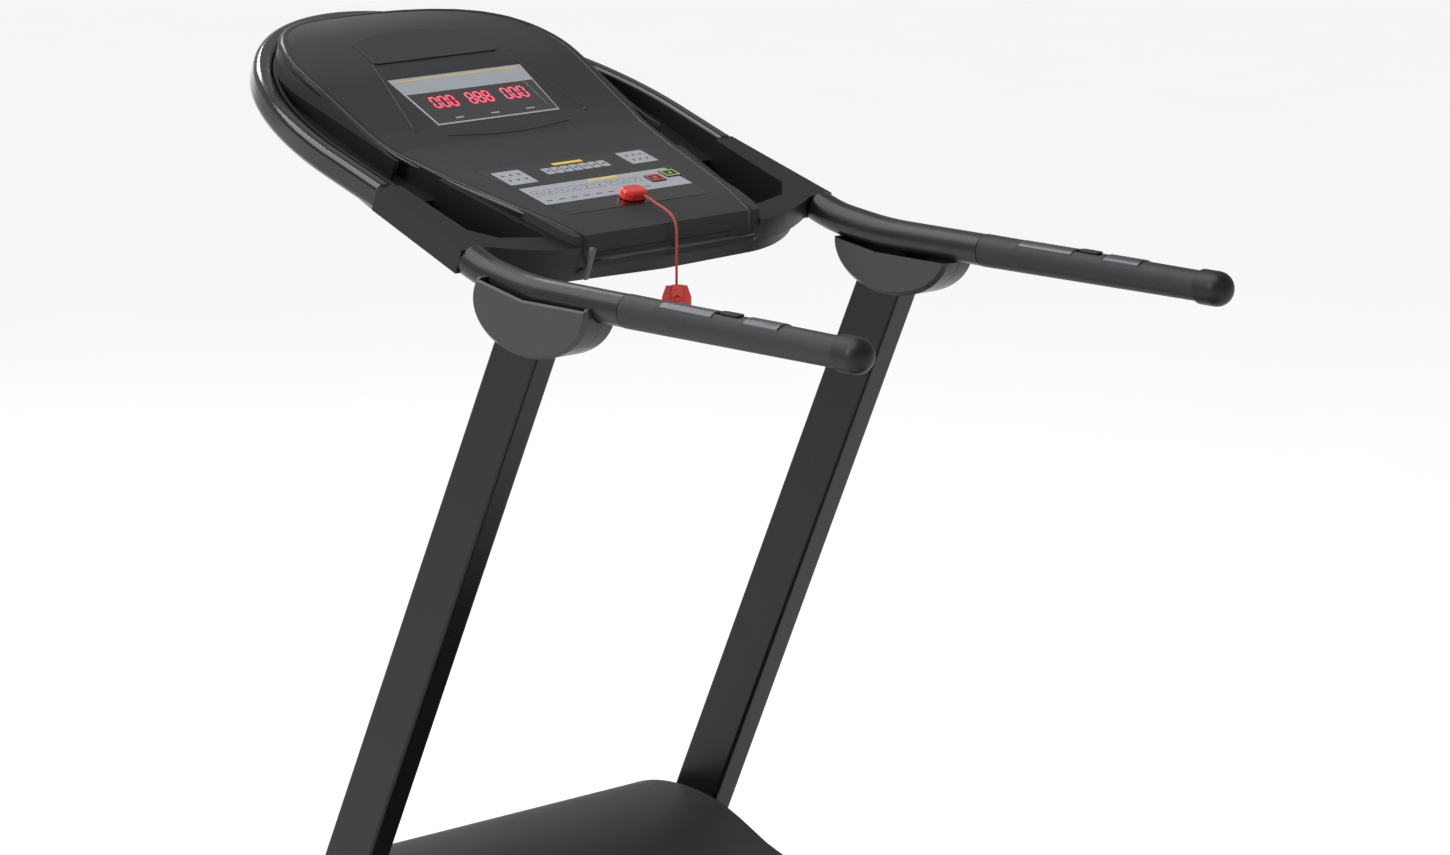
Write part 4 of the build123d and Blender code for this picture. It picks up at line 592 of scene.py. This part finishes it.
dark_marks = []
for x in (-0.124, -0.110, -0.096):
    dark_marks += [arrow(x, 0.049, 0.0035, 1), arrow(x, 0.034, 0.0035, -1)]
for x in (0.101, 0.113, 0.125):
    dark_marks += [arrow(x, 0.056, 0.0032, 1), arrow(x, 0.042, 0.0032, -1)]
dark_marks += [oblong(x, ROW_UP, 0.0056, 0.0030) for x in row]
for column in range(FIELD_KEYS):
    x = FIELD_START + column * FIELD_PITCH
    dark_marks += border(x, FIELD_UP, 0.0150, 0.0120, 0.0005)
    dark_marks.append(arrow(x, FIELD_UP, 0.0026, 1 if column % 2 else -1))
    dark_marks.append(oblong(x, FIELD_CAPTION_UP, 0.0100, 0.0022))
film("keypad_marks", dark_marks, keypad_face, TILE_TOP, MARK_TOP, grey_ink)
captions = [oblong(0, 0.0605, 0.052, 0.0060), oblong(0.010, 0.0065, 0.050, 0.0050)]
film("keypad_captions", captions, keypad_face, TILE_TOP, MARK_TOP, yellow_ink)
for name, x, y, color, slot in (
    ("start_key", 0.117, -0.006, (0.42, 0.60, 0.10), "key_green"),
    ("stop_key", 0.084, -0.013, (0.72, 0.05, 0.04), "key_red"),
):
    key_plastic = moulded(name + "_black", (0.02, 0.02, 0.021), 0.35)
    eased(name + "_cap", name, 0.0004, key_plastic)
    ink = printed_film(name + "_ink", color, 0.35)
    marks = border(x, y, 0.0212, 0.0142, 0.0018)
    marks += [arrow(x, y, 0.0035, 1)] if name == "start_key" else [oblong(x, y, 0.007, 0.007)]
    printed = film(name + "_marks", marks, keypad_face, KEY_TOP, KEY_TOP + INK, ink)
    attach(printed, name)

# Raised styling lines moulded into the panel: they run from the badge plate past both sides of the
# display and across below it. Each follows the shell's own surface, and so does a rounded satin-black
# bead along the panel's outline, which is painted shade: it darkens the panel's rounded grey edge.
ABOVE = 0.2
shell_mesh = frame["nodes"]["console_upper_shell"].data
shell_surface = BVHTree.FromPolygons(
    [vertex.co for vertex in shell_mesh.vertices], [face.vertices for face in shell_mesh.polygons])
outward = (console_slope.to_3x3() @ Vector((0, 0, 1))).normalized()


def ridge(name, corners, thickness, material, steps=24, sunk=0.3, closed=False):
    """A rounded line on the shell through corners given as across and up the slope."""
    curve = bpy.data.curves.new(name, "CURVE")
    curve.dimensions = "3D"
    line = curve.splines.new("POLY")
    places = []
    for (x0, u0), (x1, u1) in zip(corners, corners[1:] + corners[:1] * closed):
        for step in range(steps):
            part = step / steps
            above = console_slope @ Vector((x0 + (x1 - x0) * part, u0 + (u1 - u0) * part, ABOVE))
            places.append(shell_surface.ray_cast(above, -outward)[0] - sunk * thickness * outward)
    line.points.add(len(places) - 1)
    for control, place in zip(line.points, places):
        control.co = (*place, 1)
    curve.bevel_depth = thickness
    curve.bevel_resolution = 3
    curve.use_fill_caps = True
    line.use_cyclic_u = closed
    curve.materials.append(material)
    piece = bpy.data.objects.new(name, curve)
    bpy.context.collection.objects.link(piece)
    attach(piece, "base")


for side, way in (("left", -1), ("right", 1)):
    ridge(f"panel_line_{side}", [(way * 0.112, 0.412), (way * 0.150, 0.283), (way * 0.146, 0.277)],
          0.0016, shell_grey)
below_display = [(-0.110 + 0.022 * step, 0.262 - 0.010 * sin(pi * step / 10)) for step in range(11)]
ridge("panel_line_below_display", below_display, 0.0013, shell_grey, steps=4)

RIM_REACH, RIM_MIDDLE, RIM_FRONT = 0.2270, 0.4000, 0.1730
right_rim = [(0.1440, -0.0350), (0.1730, 0.0600), (0.1980, 0.1700), (0.2200, 0.2700)]
right_rim.append((RIM_REACH, RIM_MIDDLE))
right_rim += [(RIM_REACH * cos(turn), RIM_MIDDLE + RIM_FRONT * sin(turn))
              for turn in (radians(degree) for degree in range(10, 91, 10))]
left_rim = [(-x, up_slope) for x, up_slope in right_rim[-2::-1]]
# The bead's black is painted shade along the panel's rounded edge, where that edge turns from the light.
ridge("panel_edge_shade_bead", right_rim + left_rim, 0.0068, satin_black, steps=8, sunk=0.75, closed=True)

# A release tab of light grey moulded plastic, its edges eased, stands at the left end of the
# console's lip.
tab_outline = [(-0.1475, -0.026), (-0.1405, -0.026), (-0.1405, 0.016), (-0.1475, 0.016)]
lip_face = console_slope @ Matrix.Translation((0, -0.036, 0)) @ Matrix.Rotation(pi / 2, 4, "X")
tab = film("lip_release_tab", [tab_outline], lip_face, 0.0, 0.0075, moulded(
    "light_grey_tab", (0.09, 0.09, 0.095), 0.4))
easing = tab.modifiers.new("easing", "BEVEL")
easing.width = 0.0012
easing.segments = 2
